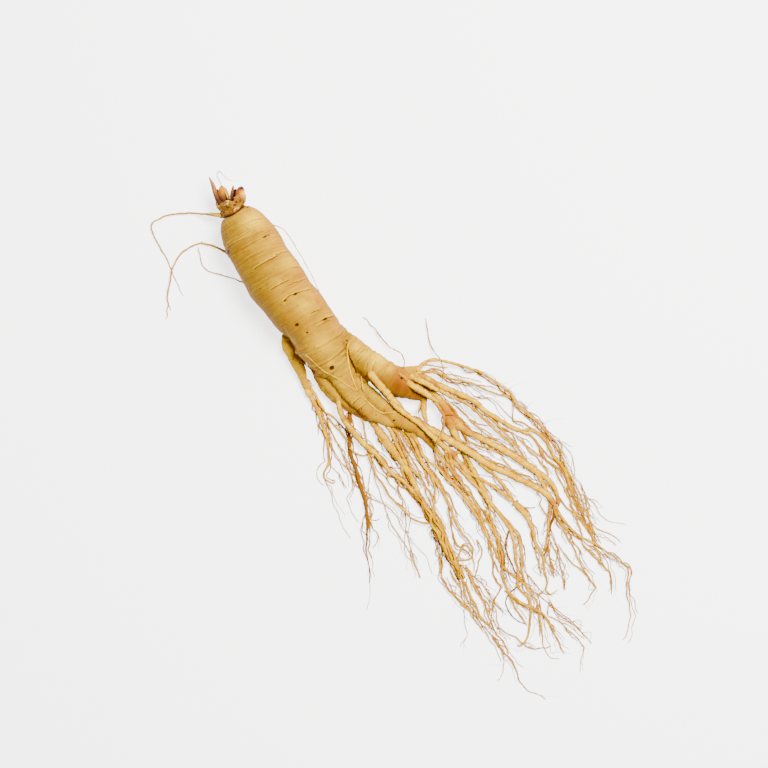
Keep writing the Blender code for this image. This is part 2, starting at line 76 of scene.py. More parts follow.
BODY = (
    (234.0, 210.5, 10.8), (234.6, 212.8, 12.5), (236.0, 215.4, 17.3), (238.4, 219.9, 21.2),
    (241.3, 224.8, 23.7), (244.6, 231.3, 25.7), (247.8, 236.4, 26.7), (251.1, 241.4, 27.7),
    (255.1, 247.1, 27.8), (260.3, 255.7, 28.2), (265.2, 264.5, 28.4), (270.5, 272.9, 28.8),
    (275.7, 281.5, 29.2), (280.7, 287.8, 29.0), (287.2, 296.6, 27.6), (293.3, 304.6, 27.9),
    (298.3, 310.9, 28.0), (303.2, 317.2, 27.7), (309.4, 322.7, 26.0), (316.0, 331.8, 25.6),
    (322.5, 341.5, 24.0), (327.5, 351.0, 20.0))
CROWN = (
    (236.2, 219.0, 9.5), (234.8, 213.0, 11.2), (233.2, 209.5, 12.4), (231.8, 206.0, 14.2),
    (230.6, 202.0, 15.4), (229.7, 198.6, 15.6), (229.1, 196.4, 14.8), (228.9, 195.6, 13.4),
    (229.1, 196.6, 11.6), (229.8, 199.6, 9.6), (230.6, 202.0, 5.0))
CROWN_HEIGHT = 23.0
LEGS = (
    ("leg_main", "0,23.5 .2,18 .4,15 .7,12.5 1,11", (
        (318, 337, 24.0), (323, 347.5, 21.5), (330.5, 361, 17), (338, 370, 12.5), (345, 382, 10.8),
        (352.5, 395, 8.8), (361.5, 404.5, 7.5), (371.5, 413, 6.8), (380, 418, 5.5), (388, 422, 5),
        (396, 425, 2.5))),
    ("leg_right", "0,18 .2,15.5 .5,14.5 .75,12.5 1,8", (
        (335, 330, 8), (343, 338, 8.6), (350.5, 345, 9.6), (357, 352, 11), (363, 358.5, 12.3),
        (371, 365, 13.1), (378, 370.5, 13.1), (392, 379, 13), (402, 385, 12.5), (411, 390, 9.5), (418, 393, 7.5),
        (423, 396, 5), (427, 398, 3))),
    ("leg_under", "0,10 .3,9.5 .5,9.5 .65,8.5 .8,6 1,3", (
        (346, 370, 6), (362, 386, 7), (368, 393, 8), (376, 401, 8.6), (387, 410.5, 7.4),
        (393, 415, 7.5), (400, 420, 8.5), (408, 424, 8), (415, 428, 6.5), (421, 433, 5.3),
        (427, 439, 4.5), (432, 445, 3.6), (434, 449, 2.5))),
    ("leg_left", "0,16 .3,9 .6,7 1,5", (
        (296, 328, 6), (287, 337, 5.4), (287.5, 346, 5.8), (291.5, 353, 6), (295, 360, 6),
        (298.5, 367, 5.6), (301, 373, 4.6), (303, 380, 3.2))),
    ("leg_back", "0,9 .3,7.6 .6,7 1,4.5", (
        (304, 347, 4), (310, 358, 5), (316, 367, 6), (321, 376, 7), (326, 384, 7.5), (331, 391, 7),
        (337, 398, 6), (345, 404, 5.2), (353, 409.5, 4.8), (361, 415, 4), (368, 420, 3.2))),
    ("leg_web", "0,12 1,7", (
        (344, 350, 7), (351, 361, 7.5), (357, 370, 7), (362, 377, 5), (366, 383, 3))),
    ("leg_seam", "0,12 1,8", (
        (318, 372, 5), (327, 384, 5.5), (337, 395, 5), (347, 404, 4.5), (357, 411, 3.5), (366, 417, 2.5))),
    ("leg_seam_b", "0,9 .5,8.5 1,5.5", (
        (378, 407, 3), (388, 411.5, 4), (399, 417, 4.3), (411, 424.5, 4.4), (421, 431, 4.2), (429, 437.5, 3.8),
        (435, 443, 2.8))),
)
# name, heights of the centre line as share,height pairs (D: clings to what is below), then x, y, radius
ROOTLETS = (
    ("side_upper", "0,20 .06,12 .2,3 .5,1 1,1", (
        (222, 214.8, 1.9), (217, 215, 1.8), (211, 214.1, 1.3), (205, 213.2, 1), (198, 212, 0.9),
        (188, 211.6, 0.9), (178, 212.1, 0.9), (168, 212.7, 0.9), (162, 214.8, 0.8), (156, 218, 0.8),
        (151.5, 220, 0.8), (149.5, 223, 0.8), (148.8, 227.5, 0.75), (150.3, 232, 0.75),
        (155, 241, 0.7), (160, 249.7, 0.7), (165, 259, 0.6), (168.5, 267, 0.6), (171, 273, 0.45),
        (174.5, 281, 0.4), (178, 289.5, 0.35), (181.5, 295.5, 0.25),)),
    ("side_lower", "0,12 .1,5 .25,2 .5,2.6 .7,2.6 1,1", (
        (229, 255.5, 1.3), (225, 251.5, 1.1), (219, 248.2, 1), (212, 245, 1), (206, 243, 0.95),
        (200, 241.6, 1), (195, 243, 0.9), (190, 245.3, 0.9), (186, 247.3, 0.9), (181, 250.3, 0.9),
        (177, 255, 0.85), (173.5, 261, 0.85), (170.5, 268, 0.85), (168.7, 276, 0.8), (167, 285, 0.8),
        (165.7, 294, 0.75), (165.3, 299, 0.7), (166.2, 304, 0.6), (164.5, 310, 0.5),
        (165, 314.5, 0.45), (164, 318.5, 0.3),)),
    ("side_twig", "0,2.2 1,1", (
        (166, 304, 0.4), (168, 307.5, 0.35), (167.8, 311, 0.2),)),
    ("side_nub", "0,2.6 1,3", (
        (200, 241.3, 0.6), (200, 239.6, 0.4),)),
    ("side_low", "0,10 .1,5 .4,2 .8,1.2 1,3.6", (
        (244, 282.5, 0.7), (239, 280.5, 0.65), (232, 277.5, 0.6), (226, 275.5, 0.6),
        (219, 273.8, 0.6), (212, 272, 0.6), (206.5, 269.7, 0.55), (202, 266, 0.55),
        (199.8, 261, 0.5), (198.6, 256, 0.5), (197, 250, 0.45), (196.3, 245.3, 0.4),)),
    ("side_right", "0,26 .15,21 .5,11 1,6", (
        (273, 225.5, 0.4), (277, 226.7, 0.4), (282.6, 229.3, 0.4), (287, 233, 0.4), (291, 239, 0.38),
        (296, 248, 0.38), (302, 257.3, 0.36), (308, 268.6, 0.35), (313, 278.5, 0.35),
        (317.3, 287, 0.3), (319.5, 293, 0.3),)),
    ("crown_hair", "0,25 1,24", (
        (221.5, 186.5, 0.4), (220, 182.5, 0.4), (218.5, 179, 0.35), (217.7, 175.6, 0.35),
        (219.5, 171.3, 0.35), (222, 174.3, 0.3), (225, 176.8, 0.3), (228, 179.2, 0.25),
        (234, 181.7, 0.2),)),
    ("wisp_right", "0,1 .35,2 .6,8 1,13", (
        (426, 317, 0.4), (427, 324.5, 0.5), (429, 334.7, 0.6), (430.8, 344.4, 0.7),
        (435, 352.3, 0.6), (440, 358.5, 0.6), (443, 365, 0.6), (443.5, 371, 0.6), (443, 378, 0.5),
        (441, 383, 0.5),)),
    ("wisp_mid", "0,1 .5,5 .85,13 1,17", (
        (362, 316, 0.35), (366.7, 319.4, 0.4), (369.8, 324, 0.45), (375, 328.6, 0.5),
        (380, 335.2, 0.6), (387.7, 345.4, 0.6), (393.3, 349, 0.5), (400.4, 352.6, 0.5),
        (404, 358.2, 0.55), (404.3, 362.2, 0.55), (403, 369.5, 0.6),)),
    ("left_main", "0,5.5 .15,4 .4,2.5 1,1", (
        (302.5, 379, 3.4), (305, 386, 3.3), (308, 392.5, 3), (311.5, 399, 2.6), (314.5, 405.5, 2.4),
        (317.5, 412, 2.2), (320, 418, 1.9), (322, 425, 1.8), (324, 431.5, 1.8), (326, 438, 1.6),
        (327.3, 445, 1.5), (328, 453, 1.3), (328.4, 460, 1.2), (327.8, 465, 1.2), (325.5, 469, 1.1),
        (323.7, 473, 1), (323.3, 477, 0.9), (325, 480.3, 0.8), (328, 482.5, 0.7), (331, 484, 0.6),
        (333.8, 484, 0.5), (334.6, 482.3, 0.5), (332.5, 480.8, 0.4), (330, 481.5, 0.4),)),
    ("left_side", "0,6 .5,4 1,3", (
        (302.5, 374, 1.6), (306, 380.5, 1.6), (310, 387.5, 1.6), (314, 394.5, 1.6),
        (318, 401.5, 1.7), (322, 408, 1.8), (324.7, 413, 1.6),)),
    ("left_side_a", "0,3 1,3.4", (
        (324.7, 413, 1.1), (330, 415.5, 1), (335, 420, 0.9), (340, 425, 0.9), (345, 430.5, 0.8),
        (349, 434.5, 0.8),)),
    ("left_side_b", "0,3 1,3", (
        (325.5, 416, 1.2), (330, 421, 1.1), (335, 426.5, 1.1), (340, 432, 1.1), (344.5, 438, 1),
        (347.5, 444, 1),)),
    ("left_side_c", "0,3 .3,2 1,.8", (
        (325.5, 418, 0.9), (328, 425, 0.8), (331, 432, 0.8), (335, 440, 0.8), (339, 447.5, 0.8),
        (342.5, 455, 0.8), (345, 462, 0.8), (348, 469, 0.8), (350, 475, 0.7), (352.5, 481, 0.7),
        (356.5, 486.5, 0.7), (361, 492, 0.6), (365, 495.5, 0.6), (369.5, 499.3, 0.6),
        (376, 502, 0.55), (382, 504, 0.5), (387, 507.5, 0.5), (392.5, 512.5, 0.45), (397, 518, 0.45),
        (400.5, 524.5, 0.4), (404, 531.5, 0.4), (409, 538.5, 0.35), (415, 546, 0.3), (422, 553, 0.3),
        (427, 559.5, 0.3), (430, 568, 0.3), (433, 577, 0.2),)),
    ("left_c", "0,2 1,.8", (
        (327.5, 438, 0.5), (331, 446, 0.5), (334, 452.5, 0.5), (339, 460, 0.5), (344, 467, 0.5),
        (349, 473.5, 0.5), (352, 481, 0.45), (352.6, 487, 0.4), (351, 492, 0.4), (348, 496.5, 0.4),
        (346.5, 500, 0.35), (348.5, 505, 0.35), (350.5, 511, 0.3), (354, 517.5, 0.3),
        (357.5, 524.5, 0.2),)),
    ("left_d", "0,1.6 1,.8", (
        (328.5, 465.5, 0.5), (333, 469.5, 0.45), (338.5, 475, 0.4), (341.5, 481, 0.4),
        (344, 485.5, 0.4), (347.5, 490, 0.3),)),
    ("left_e", "0,1.4 1,.8", (
        (323.5, 479, 0.4), (326, 485.5, 0.4), (330, 492, 0.35), (331.8, 499, 0.35),
        (333.5, 507, 0.3), (337.5, 514.5, 0.3), (340.5, 522.5, 0.3), (343.5, 530, 0.3),
        (350.5, 540, 0.2),)),
    ("left_over", "0,9 .2,13.8 .8,13.6 1,12", (
        (288.5, 358.5, 0.5), (294, 358.3, 0.5), (299, 360.3, 0.5), (303.5, 363.5, 0.5),
        (307.5, 366.5, 0.5), (313, 372, 0.4),)),
    ("left_gap", "0,9 1,6", (
        (301.7, 352.5, 0.6), (302.2, 358, 0.6), (304.5, 363.5, 0.6), (306.5, 366, 0.5),)),
    ("drape_a", "D", (
        (306, 355, 0.5), (311, 359, 0.5), (316, 364, 0.5), (322, 369.5, 0.5), (327, 373, 0.5),
        (334, 376.5, 0.5), (341, 381, 0.5), (348, 385.5, 0.5), (354, 389, 0.5), (358, 391.5, 0.5),)),
    ("drape_b", "D", (
        (361, 395, 0.7), (366, 400, 0.75), (371, 405, 0.75), (377, 410, 0.75), (383, 413, 0.7),
        (390, 412.5, 0.7), (398, 411.5, 0.6),)),
    ("drape_c", "D", (
        (351, 340.5, 1.2), (349, 343, 1.1), (347.5, 348, 1.1), (347.5, 355, 1.1), (348.5, 362, 1),
        (350, 370, 1), (352, 377, 0.9), (355, 385, 0.9), (358, 391, 0.8),)),
    ("drape_d", "D", (
        (361, 376, 1), (362, 382, 1), (362.5, 387, 1), (364, 392, 0.9),)),
    ("back_long", "0,11 .03,14 .06,14 .11,11 .2,6.5 .35,4.5 .6,4.5 .8,3 1,1", (
        (337.5, 391, 2.4), (338, 400, 2.6), (339.2, 408, 2.7), (341.8, 415.5, 2.9),
        (345.5, 422.5, 3), (350.5, 429.5, 3.2), (356, 436, 3.2), (361.5, 442, 3.2),
        (367.5, 448, 3.1), (373.5, 453, 3), (379, 458.5, 2.8), (383.5, 463.5, 2.7),
        (387.5, 469.5, 2.5), (392.5, 474.3, 2.4), (398.5, 478.8, 2.3), (404, 483, 2.2),
        (409.5, 488.5, 2.5), (414.5, 494, 2.8), (419, 499, 3.2), (423, 505, 3.6), (427, 511.5, 3.8),
        (431, 518, 4), (435.5, 526, 4.2), (439.5, 534, 4.8), (444, 543, 5), (449, 553, 4.6),
        (454, 562, 4.2), (459, 571, 3.8), (462.5, 580, 3.2), (464.5, 589, 2.7), (466, 597.5, 2.4),
        (470.5, 606, 1.9), (475, 613.5, 1.8), (478.5, 619.5, 1.7), (481, 625, 1.4),
        (486.5, 630.5, 1.4), (492, 637, 1.2), (495, 642, 1.1), (499.5, 648, 1), (503.5, 653, 0.9),
        (505, 659, 0.8), (505, 667, 0.8), (504, 675, 0.7), (501.5, 681, 0.6), (499.5, 685, 0.4),)),
    ("back_tail", "0,1.2 1,.8", (
        (494, 640, 1.1), (500, 648, 1), (505.5, 655.5, 0.9), (511, 661.5, 0.9), (515, 667, 0.85),
        (518.5, 675, 0.8), (520, 682.5, 0.6), (525, 689.5, 0.5), (530, 694, 0.45),
        (537, 696.5, 0.45), (543, 699.5, 0.4), (548, 703, 0.3),)),
    ("back_tail_b", "0,2.5 1,1.2", (
        (466, 584, 1.3), (469, 592, 1.3), (472, 599.5, 1.3), (476, 606.5, 1.3), (479, 613.5, 1.2),
        (482.5, 620.5, 1.3), (488, 626, 1.3), (493, 630.5, 0.9),)),
    ("back_tail_c", "0,2.6 1,1.5", (
        (450.5, 571, 1.1), (453, 578, 1), (457, 584.5, 1), (462, 590.5, 1),)),
    ("back_tail_d", "0,3 .5,1 1,1.2", (
        (438, 545, 0.4), (438, 553, 0.4), (442, 560, 0.45), (443.5, 568, 0.5), (442, 578, 0.55),
        (446, 585.5, 0.6), (449, 592.5, 0.6), (455, 598, 0.6), (460, 604, 0.7), (465, 609.5, 0.8),
        (471, 614, 0.9), (477, 619, 0.9),)),
    ("back_tail_e", "0,3 1,1", (
        (447.5, 578, 0.4), (449.5, 586, 0.4), (453.5, 593, 0.5), (457.5, 599.5, 0.6),)),
    ("back_tail_f", "0,1.5 1,.8", (
        (465, 611, 0.35), (465, 620, 0.35), (466.5, 629, 0.35), (468.3, 636, 0.3), (467, 641, 0.3),
        (462.5, 645, 0.35), (461, 650, 0.25),)),
    ("back_a", "0,5 .2,1.5 1,.8", (
        (374.5, 459, 0.4), (371.5, 466, 0.4), (369.8, 473, 0.4), (369, 482, 0.4), (368.6, 491, 0.4),
        (369.6, 500, 0.4), (369.8, 510, 0.35), (368.5, 525, 0.3), (369, 535, 0.2),)),
    ("back_b", "0,4 .2,1.2 1,.8", (
        (373.5, 472, 0.4), (375, 481, 0.45), (379, 491, 0.45), (382.5, 501, 0.5), (386, 512, 0.5),
        (390.5, 523.5, 0.55), (397, 534, 0.6), (403, 543.5, 0.6), (407.5, 550, 0.5),
        (411.5, 557, 0.6), (413.5, 563, 0.8), (417, 571, 0.8), (420.5, 580.5, 0.6),)),
    ("back_c", "0,1 1,.8", (
        (405, 545, 0.35), (405, 552, 0.35), (408, 559, 0.35), (412, 563, 0.35),)),
    ("back_d", "0,3.5 1,1.4", (
        (388, 472, 0.8), (387, 478, 0.7), (389, 484, 0.7), (393, 488.5, 0.6), (396.5, 491.5, 0.5),
        (396, 497, 0.3),)),
    ("back_e", "0,4 .2,1.4 1,.8", (
        (400, 482, 0.8), (398, 487, 0.8), (399, 493, 0.7), (402, 498, 0.6), (404, 500, 0.4),
        (406, 508, 0.4), (405.5, 515, 0.5), (406.5, 525, 0.5), (406, 532, 0.4), (404.5, 540, 0.35),
        (405, 548, 0.3),)),
    ("back_f", "0,2 1,.8", (
        (408, 505, 0.4), (409, 513, 0.4), (411, 522, 0.4), (409, 530, 0.35), (409, 536, 0.2),)),
    ("fine_043", "0,2 1,1", (
        (348.5, 402, 1.9), (348.8, 409, 2), (349.3, 416, 2), (349.3, 424, 1.8), (348.7, 432, 1.8),
        (348.8, 440, 1.8), (349.3, 448, 1.9), (350.8, 456, 1.9), (353.7, 464, 1.9),
        (356.3, 473, 1.9), (358.6, 482, 1.8), (361, 490, 1.7), (363.4, 498, 1.6), (365.4, 506, 1.5),
        (366.4, 513, 1.6), (367, 520, 1.4), (367.2, 528, 1), (366.7, 536, 0.9), (366.7, 544, 0.8),
        (366, 551, 0.6), (367.5, 560, 0.5), (369, 569, 0.5), (370, 577, 0.6), (369.5, 586, 0.4),)),
    ("low_long", "0,5 .1,4 .25,3 .6,3.2 1,1", (
        (350, 449, 1), (353, 452.5, 0.9), (358.5, 455.3, 0.9), (364, 456, 0.9), (369, 455, 0.9),)),
    ("low_a", "0,3.6 1,6", (
        (367.5, 449, 1.1), (368.5, 456, 1.1), (370.5, 463, 1.1), (373, 469.5, 1.1),
        (376, 475.5, 1.1), (380.5, 482, 1.1), (385, 489, 1.05), (389, 496, 1), (394.5, 502, 1),
        (400, 507.5, 1), (405, 513, 0.95), (410, 517.5, 0.95), (417, 522, 0.9), (424, 524, 0.9),
        (431, 524.5, 0.8),)),
    ("low_cross", "0,5 .2,2 .9,1.5 1,3", (
        (367, 515, 0.6), (369.5, 519.5, 0.55), (373, 521.8, 0.5), (377, 521.8, 0.5),
        (380.5, 519.8, 0.4),)),
    ("fine_047", "0,2 1,1", (
        (368.5, 520, 0.5), (371, 526, 0.5), (373, 530.5, 0.5), (376.5, 533.5, 0.5),
        (378.5, 539, 0.5), (377, 544, 0.4), (372, 550, 0.3),)),
    ("fine_048", "0,2 1,1", (
        (365.5, 514, 0.6), (364, 519, 0.4), (361.5, 526, 0.4), (360.7, 531, 0.45), (362, 537, 0.4),
        (364, 544.5, 0.5), (363.5, 551, 0.5), (365, 556, 0.4), (367, 563, 0.3),)),
    ("fine_049", "0,2 1,1", (
        (370, 586, 0.25), (370, 598, 0.2), (367.5, 608, 0.25), (366.8, 612, 0.2),)),
    ("main_short", "0,8 .5,8.5 1,8.5", (
        (361, 418, 1), (363, 425, 1), (364.5, 432, 1), (366, 439, 1), (367, 446, 1),)),
    ("main_low", "0,8 .15,6 .4,5 .7,4.5 1,5", (
        (368, 416, 3), (373, 423, 3.3), (378, 430, 3.8), (383, 437.5, 4.3), (388.5, 445, 4.5),
        (393.5, 452, 4.3), (398, 458, 3.8), (402.5, 463.5, 3.4), (406.5, 469.5, 3.2),
        (410.5, 476.5, 3.2), (413.5, 483, 3.1), (417, 490.5, 2.9), (420.5, 498, 2.8),)),
    ("main_low_b", "0,6 .5,6.5 1,6", (
        (376, 428, 1.6), (378.5, 434.5, 1.8), (381, 440.5, 1.8), (385.5, 446.5, 1.5),
        (390.5, 452, 1.3), (396, 457, 1.1),)),
    ("main_low_c", "0,4.5 1,3", (
        (403, 466, 1.8), (402.5, 472, 1.3), (404, 477.5, 1.3), (405, 483, 1.1),)),
    ("main_low_d", "0,4.5 1,3.4", (
        (405, 470, 1.5), (408, 477, 1.4), (410.5, 484, 1.2),)),
    ("main_side", "0,11 .2,10 .5,8.5 1,6", (
        (377, 415.5, 2), (383, 421.5, 2.2), (388.5, 428, 2.3), (392.5, 435, 2.2), (396, 442.5, 2.1),
        (399.5, 450, 2), (402.5, 456.5, 2), (405.5, 463, 2), (408, 468, 1.8),)),
    ("main_side_b", "0,8 .5,5 1,5", (
        (401, 434, 0.9), (404, 440, 0.9), (408, 446, 0.9), (410.5, 451, 0.8), (409, 455, 0.7),
        (406.5, 460, 0.8),)),
    ("main_mid", "0,6 .2,3 .7,3 1,7.5", (
        (398, 434.5, 1), (401.5, 442, 0.9), (405.5, 448.5, 0.9), (409.5, 455, 0.9),
        (413.5, 461.5, 0.9), (417, 468, 1), (420, 474.5, 1), (423, 481.5, 1.1), (426.5, 487.5, 1.1),
        (430.5, 493, 1.1), (433, 500, 1.1), (434.3, 507, 1.1), (433.5, 512, 1.1), (436, 518, 1.2),
        (440, 524.5, 1.3), (443.5, 531, 1.4),)),
    ("main_mid_b", "0,3 1,5", (
        (426, 488, 0.8), (426, 494, 0.8), (429, 500, 0.8), (431.5, 506.5, 0.8), (432.5, 513, 0.8),)),
    ("main_link", "0,5 1,3", (
        (409, 468, 1.5), (414.5, 473, 1.3), (419.5, 477.5, 1.2), (424, 483, 1.1), (426, 487.5, 1),)),
    ("long", "0,9.5 .1,9 .3,8.8 .45,8 .6,5.5 1,3.6", (
        (398, 415, 4.5), (408, 419, 5), (416, 422, 5), (424, 426, 4.7), (432, 430.5, 4.5),
        (440, 435, 4.4), (448, 439.5, 4.3), (456, 444, 4.3), (464, 448.5, 4.2), (472, 453.5, 4.1),
        (480, 459, 4.1), (488, 464, 4), (496, 468.5, 3.8), (504, 472, 3.7), (512, 475.5, 3.6),
        (520, 479.5, 3.5), (528, 483.5, 3.4), (536, 487.5, 3.3), (543, 491.5, 3.3),
        (549, 496.5, 3.3), (552.5, 502, 3.3), (554, 508, 2.8),)),
    ("long_rope", "0,5 .5,4 1,3.8", (
        (480, 463.5, 1.8), (486, 468.5, 1.9), (492, 473, 1.9), (498, 478.5, 1.9), (503, 484.5, 1.9),
        (507.5, 491, 1.9), (511.5, 497.5, 2), (515.5, 503, 2.4),)),
    ("over_tail", "0,3.8 .3,3 1,1", (
        (515.5, 503, 2.9), (520, 508, 2.9), (524.5, 513, 2.8), (528.5, 518.5, 2.5),
        (531.5, 525, 2.2), (534, 531.5, 2), (535.5, 538, 1.8), (537, 544.5, 1.6),
        (540.5, 550.5, 1.5), (543.5, 556, 1.5), (545, 563, 1.2), (545.5, 571, 1.1),
        (547.5, 578.5, 1), (549, 585, 0.9), (547.5, 591.5, 1), (550, 595.5, 0.9), (554, 598, 0.7),)),
    ("over_tail_b", "0,1.6 1,1", (
        (537, 548, 0.9), (537.5, 556, 0.8), (539.5, 563, 0.8), (541.5, 571, 0.7), (543.5, 579, 0.6),)),
    ("over_tail_c", "0,3 1,1", (
        (523, 508.5, 0.7), (530, 509, 0.65), (538, 509, 0.5),)),
    ("long_drop", "0,3 1,1.3", (
        (552, 506, 1.8), (551, 513, 1.6), (550.3, 521, 1.6), (550, 530, 1.5), (549.5, 539, 1.4),
        (547.5, 547.5, 1.2), (545, 554, 1.2),)),
    ("long_thin", "0,4 1,3", (
        (538, 493, 0.8), (541, 497, 0.7), (543, 500, 0.6), (541, 505, 0.7), (543.5, 510, 0.8),
        (547, 515, 0.8), (550, 519, 0.9),)),
    ("long_tail", "0,3 .4,1.8 1,1", (
        (555, 508, 1.8), (558, 516, 1.6), (561, 523, 1.5), (565, 530.5, 1.3), (569, 538, 1.1),
        (573, 545, 1), (577, 552.5, 0.9), (579.5, 560, 0.9), (583.5, 567, 0.9), (587.5, 574, 0.9),
        (591, 580.5, 1), (595, 585.5, 0.9), (597.8, 590, 0.8), (596, 593, 0.7), (592.5, 597.5, 0.6),
        (590, 603, 0.6), (584, 607, 0.5),)),
    ("long_tail_b", "0,3.2 .3,2.5 1,1", (
        (557, 508, 1.9), (561, 515, 1.8), (565, 521.5, 1.7), (570, 527.5, 1.5), (575.5, 532.5, 1.5),
        (581, 537.5, 1.5), (587, 540.5, 1.4), (593, 543.5, 1.4), (598.5, 546.5, 1.5),
        (605, 550, 0.9), (611, 555, 0.9), (617, 559, 0.9), (622.5, 564, 0.9), (629, 568, 0.8),
        (631.3, 574, 0.8), (630, 580.5, 0.75), (628.7, 586, 0.7), (629.6, 592, 0.7),
        (629.7, 600, 0.7), (632, 605, 0.6), (632, 611, 0.5), (633.2, 617, 0.5), (632, 624, 0.5),
        (631, 631, 0.45), (629, 637, 0.45), (625, 643, 0.4),)),
    ("long_tail_c", "0,2 1,1", (
        (583, 543, 1), (587, 549, 1.1), (593, 554.5, 1.1), (599, 560.5, 1.2), (603, 565, 1.4),
        (608, 570, 1), (612.5, 575, 0.6), (614, 584, 0.45), (614, 597, 0.3),)),
    ("fine_070", "0,2 1,1", (
        (596, 548, 1), (600, 555, 1), (603, 560, 1), (604, 566, 1),)),
    ("fine_071", "0,2 1,1", (
        (551, 541, 0.6), (554.5, 548, 0.6), (558, 555, 0.6), (561, 563, 0.6), (563, 573, 0.6),
        (565, 583, 0.6), (566.5, 593, 0.6),)),
    ("fine_072", "0,2 1,1", (
        (550, 546, 0.6), (551, 556, 0.6), (552, 564, 0.6), (555, 571, 0.6), (555.5, 580, 0.5),)),
    ("fine_073", "0,2 1,1", (
        (545, 560, 0.7), (550, 567, 0.7), (554, 575, 0.7), (556, 580, 0.6),)),
    ("fine_074", "0,2 1,1", (
        (560, 545, 0.6), (563, 551, 0.6), (568, 558, 0.7), (572, 563, 0.8), (577, 567, 0.9),
        (583, 571.5, 0.9), (589, 578.5, 0.9),)),
    ("fine_075", "0,2 1,1", (
        (582, 495, 0.5), (588, 497.5, 0.5), (593.5, 501.5, 0.45), (598, 507, 0.5), (600, 512, 0.4),
        (604, 517.5, 0.35), (610, 521.5, 0.3), (617, 524, 0.25), (629, 526, 0.2),)),
    ("front", "0,11 .15,14 .4,18.5 .5,18 .65,15 .8,13.8 .9,10 1,6", (
        (371, 370, 2.4), (371, 376, 2.8), (373, 381, 2.7), (378, 386.5, 2.6), (383, 391.5, 2.6),
        (388, 397, 2.6), (393, 403, 2.7), (398, 408, 2.7), (404, 412.5, 2.7), (411, 417.5, 2.6),
        (418, 422.5, 2.5), (424, 428, 2.5), (430, 434, 2.4), (436, 439.5, 2.3), (441, 444, 2.1),
        (446, 448.5, 2.1), (451, 452.5, 2.3), (453, 455, 2.3),)),
    ("over_rope", "0,6 .2,4 1,3.8", (
        (455, 457.5, 1.9), (459.5, 462.5, 1.7), (464.5, 467.5, 1.7), (469.5, 472.5, 1.7),
        (475.5, 476.5, 1.7), (482, 480, 1.7), (488.5, 484, 1.7), (494.5, 487.5, 1.7),
        (500, 491.5, 1.8), (505.5, 496, 1.9), (510.5, 500, 2), (515, 504, 2.5),)),
    ("front_link", "0,6 1,8", (
        (457, 454, 1), (461, 450, 1),)),
    ("under_a", "0,6 .1,4.5 .3,3 .7,3 1,1.2", (
        (407, 433, 2), (411, 438, 2.1), (414.5, 444, 2.3), (417, 450.5, 2.2), (419.5, 457, 2.1),
        (422.5, 463.5, 2), (427, 469.5, 1.9), (431.5, 475, 1.9), (435.5, 481, 1.8),
        (439.5, 487.5, 1.8), (443.5, 493.5, 1.7), (447, 500, 1.6), (450, 506.5, 1.6),
        (452.5, 513, 1.5), (454.5, 519, 1.4), (457, 525, 1.4), (460.5, 530.5, 1.5),
        (463, 535.5, 1.3), (467.5, 540, 1), (471.5, 546, 0.9), (473.8, 552, 0.8), (473.5, 559, 0.7),
        (475, 566, 0.5), (475, 575, 0.4),)),
    ("under_a_b", "0,2.5 1,1.5", (
        (449.5, 505, 0.9), (449.5, 512, 0.8), (451, 520, 0.8), (452, 528, 0.8), (453.5, 536, 0.8),
        (455, 541.5, 0.9), (457.5, 546.5, 1), (463, 549.5, 0.9), (468, 553.5, 0.8), (472, 559, 0.7),)),
    ("under_b", "0,7 .1,5.5 .3,4 .6,3 1,2", (
        (413, 436, 1.8), (417, 442, 1.9), (420, 448.5, 1.8), (423, 455, 1.6), (427, 460.5, 1.4),
        (432, 464.5, 1.3), (437, 468, 1.3), (441.5, 472, 1.3), (445.5, 477, 1.2), (450, 482, 1.2),
        (455, 486.5, 1.2), (459.5, 491.5, 1.2), (463.5, 497, 1.3), (467.5, 502.5, 1.3),
        (471.5, 508.5, 1.4), (475.5, 514.5, 1.4), (479, 520.5, 1.4), (482, 526.5, 1.4),
        (485, 533, 1.3), (489, 539.5, 1.2), (493, 546, 1.2), (496.5, 552.5, 1.2),
        (499.5, 559.5, 1.3), (502.5, 566.5, 1.4),)),
    ("under_b_b", "0,2 1,1", (
        (435.5, 447, 0.8), (435, 454, 0.8), (435.5, 461, 0.7), (435.5, 468, 0.5), (436, 480, 0.3),
        (436, 490, 0.2),)),
    ("under_c", "0,5 .2,4 .5,2.5 1,1.5", (
        (437, 449, 1.6), (441.5, 455, 1.5), (446, 461.5, 1.5), (450, 468, 1.8), (453.5, 473.5, 1.9),
        (458, 479, 1.5), (462.5, 484.5, 1.3), (467, 491, 1.3), (471.5, 497, 1.3), (475.5, 503, 1.2),
        (479, 509.5, 1.2), (482, 516, 1.2), (485.5, 521.5, 1.1), (490, 526, 1.1), (493.5, 532, 1.1),
        (498, 537, 1.3), (500, 543.5, 1.4), (501.5, 551, 1.4), (503.5, 558, 1.4), (504, 564.5, 1.4),
        (503, 570, 1.5), (502.5, 576, 1.4), (505, 583, 1.4), (508, 590.5, 1.4), (511.5, 598, 1.3),
        (513.5, 604.5, 1.2), (517, 611, 1), (521, 616.5, 1), (525, 622.5, 0.9), (528.5, 628.5, 0.8),)),
    ("under_c_b", "0,3 1,1.4", (
        (448, 454, 1.4), (450.5, 461, 1.4), (453, 468, 1.3), (454.5, 475, 1.2), (456.5, 482, 1.1),
        (458, 488, 1), (462, 493, 1),)),
    ("under_d", "0,4.5 1,3", (
        (450, 457, 1.6), (454.5, 463.5, 1.6), (460, 470, 1.6), (466.5, 476.5, 1.7),
        (472.5, 483.5, 1.7), (478.5, 488.5, 1.7), (483.5, 494, 1.8), (487.5, 500.5, 2),
        (490.5, 507, 2),)),
    ("right_deep", "0,8 .15,6 .3,5.5 .5,4 1,2.2", (
        (412, 378, 2.5), (420, 383.5, 3), (428, 389, 3.3), (435, 395, 3.5), (441, 402, 3.8),
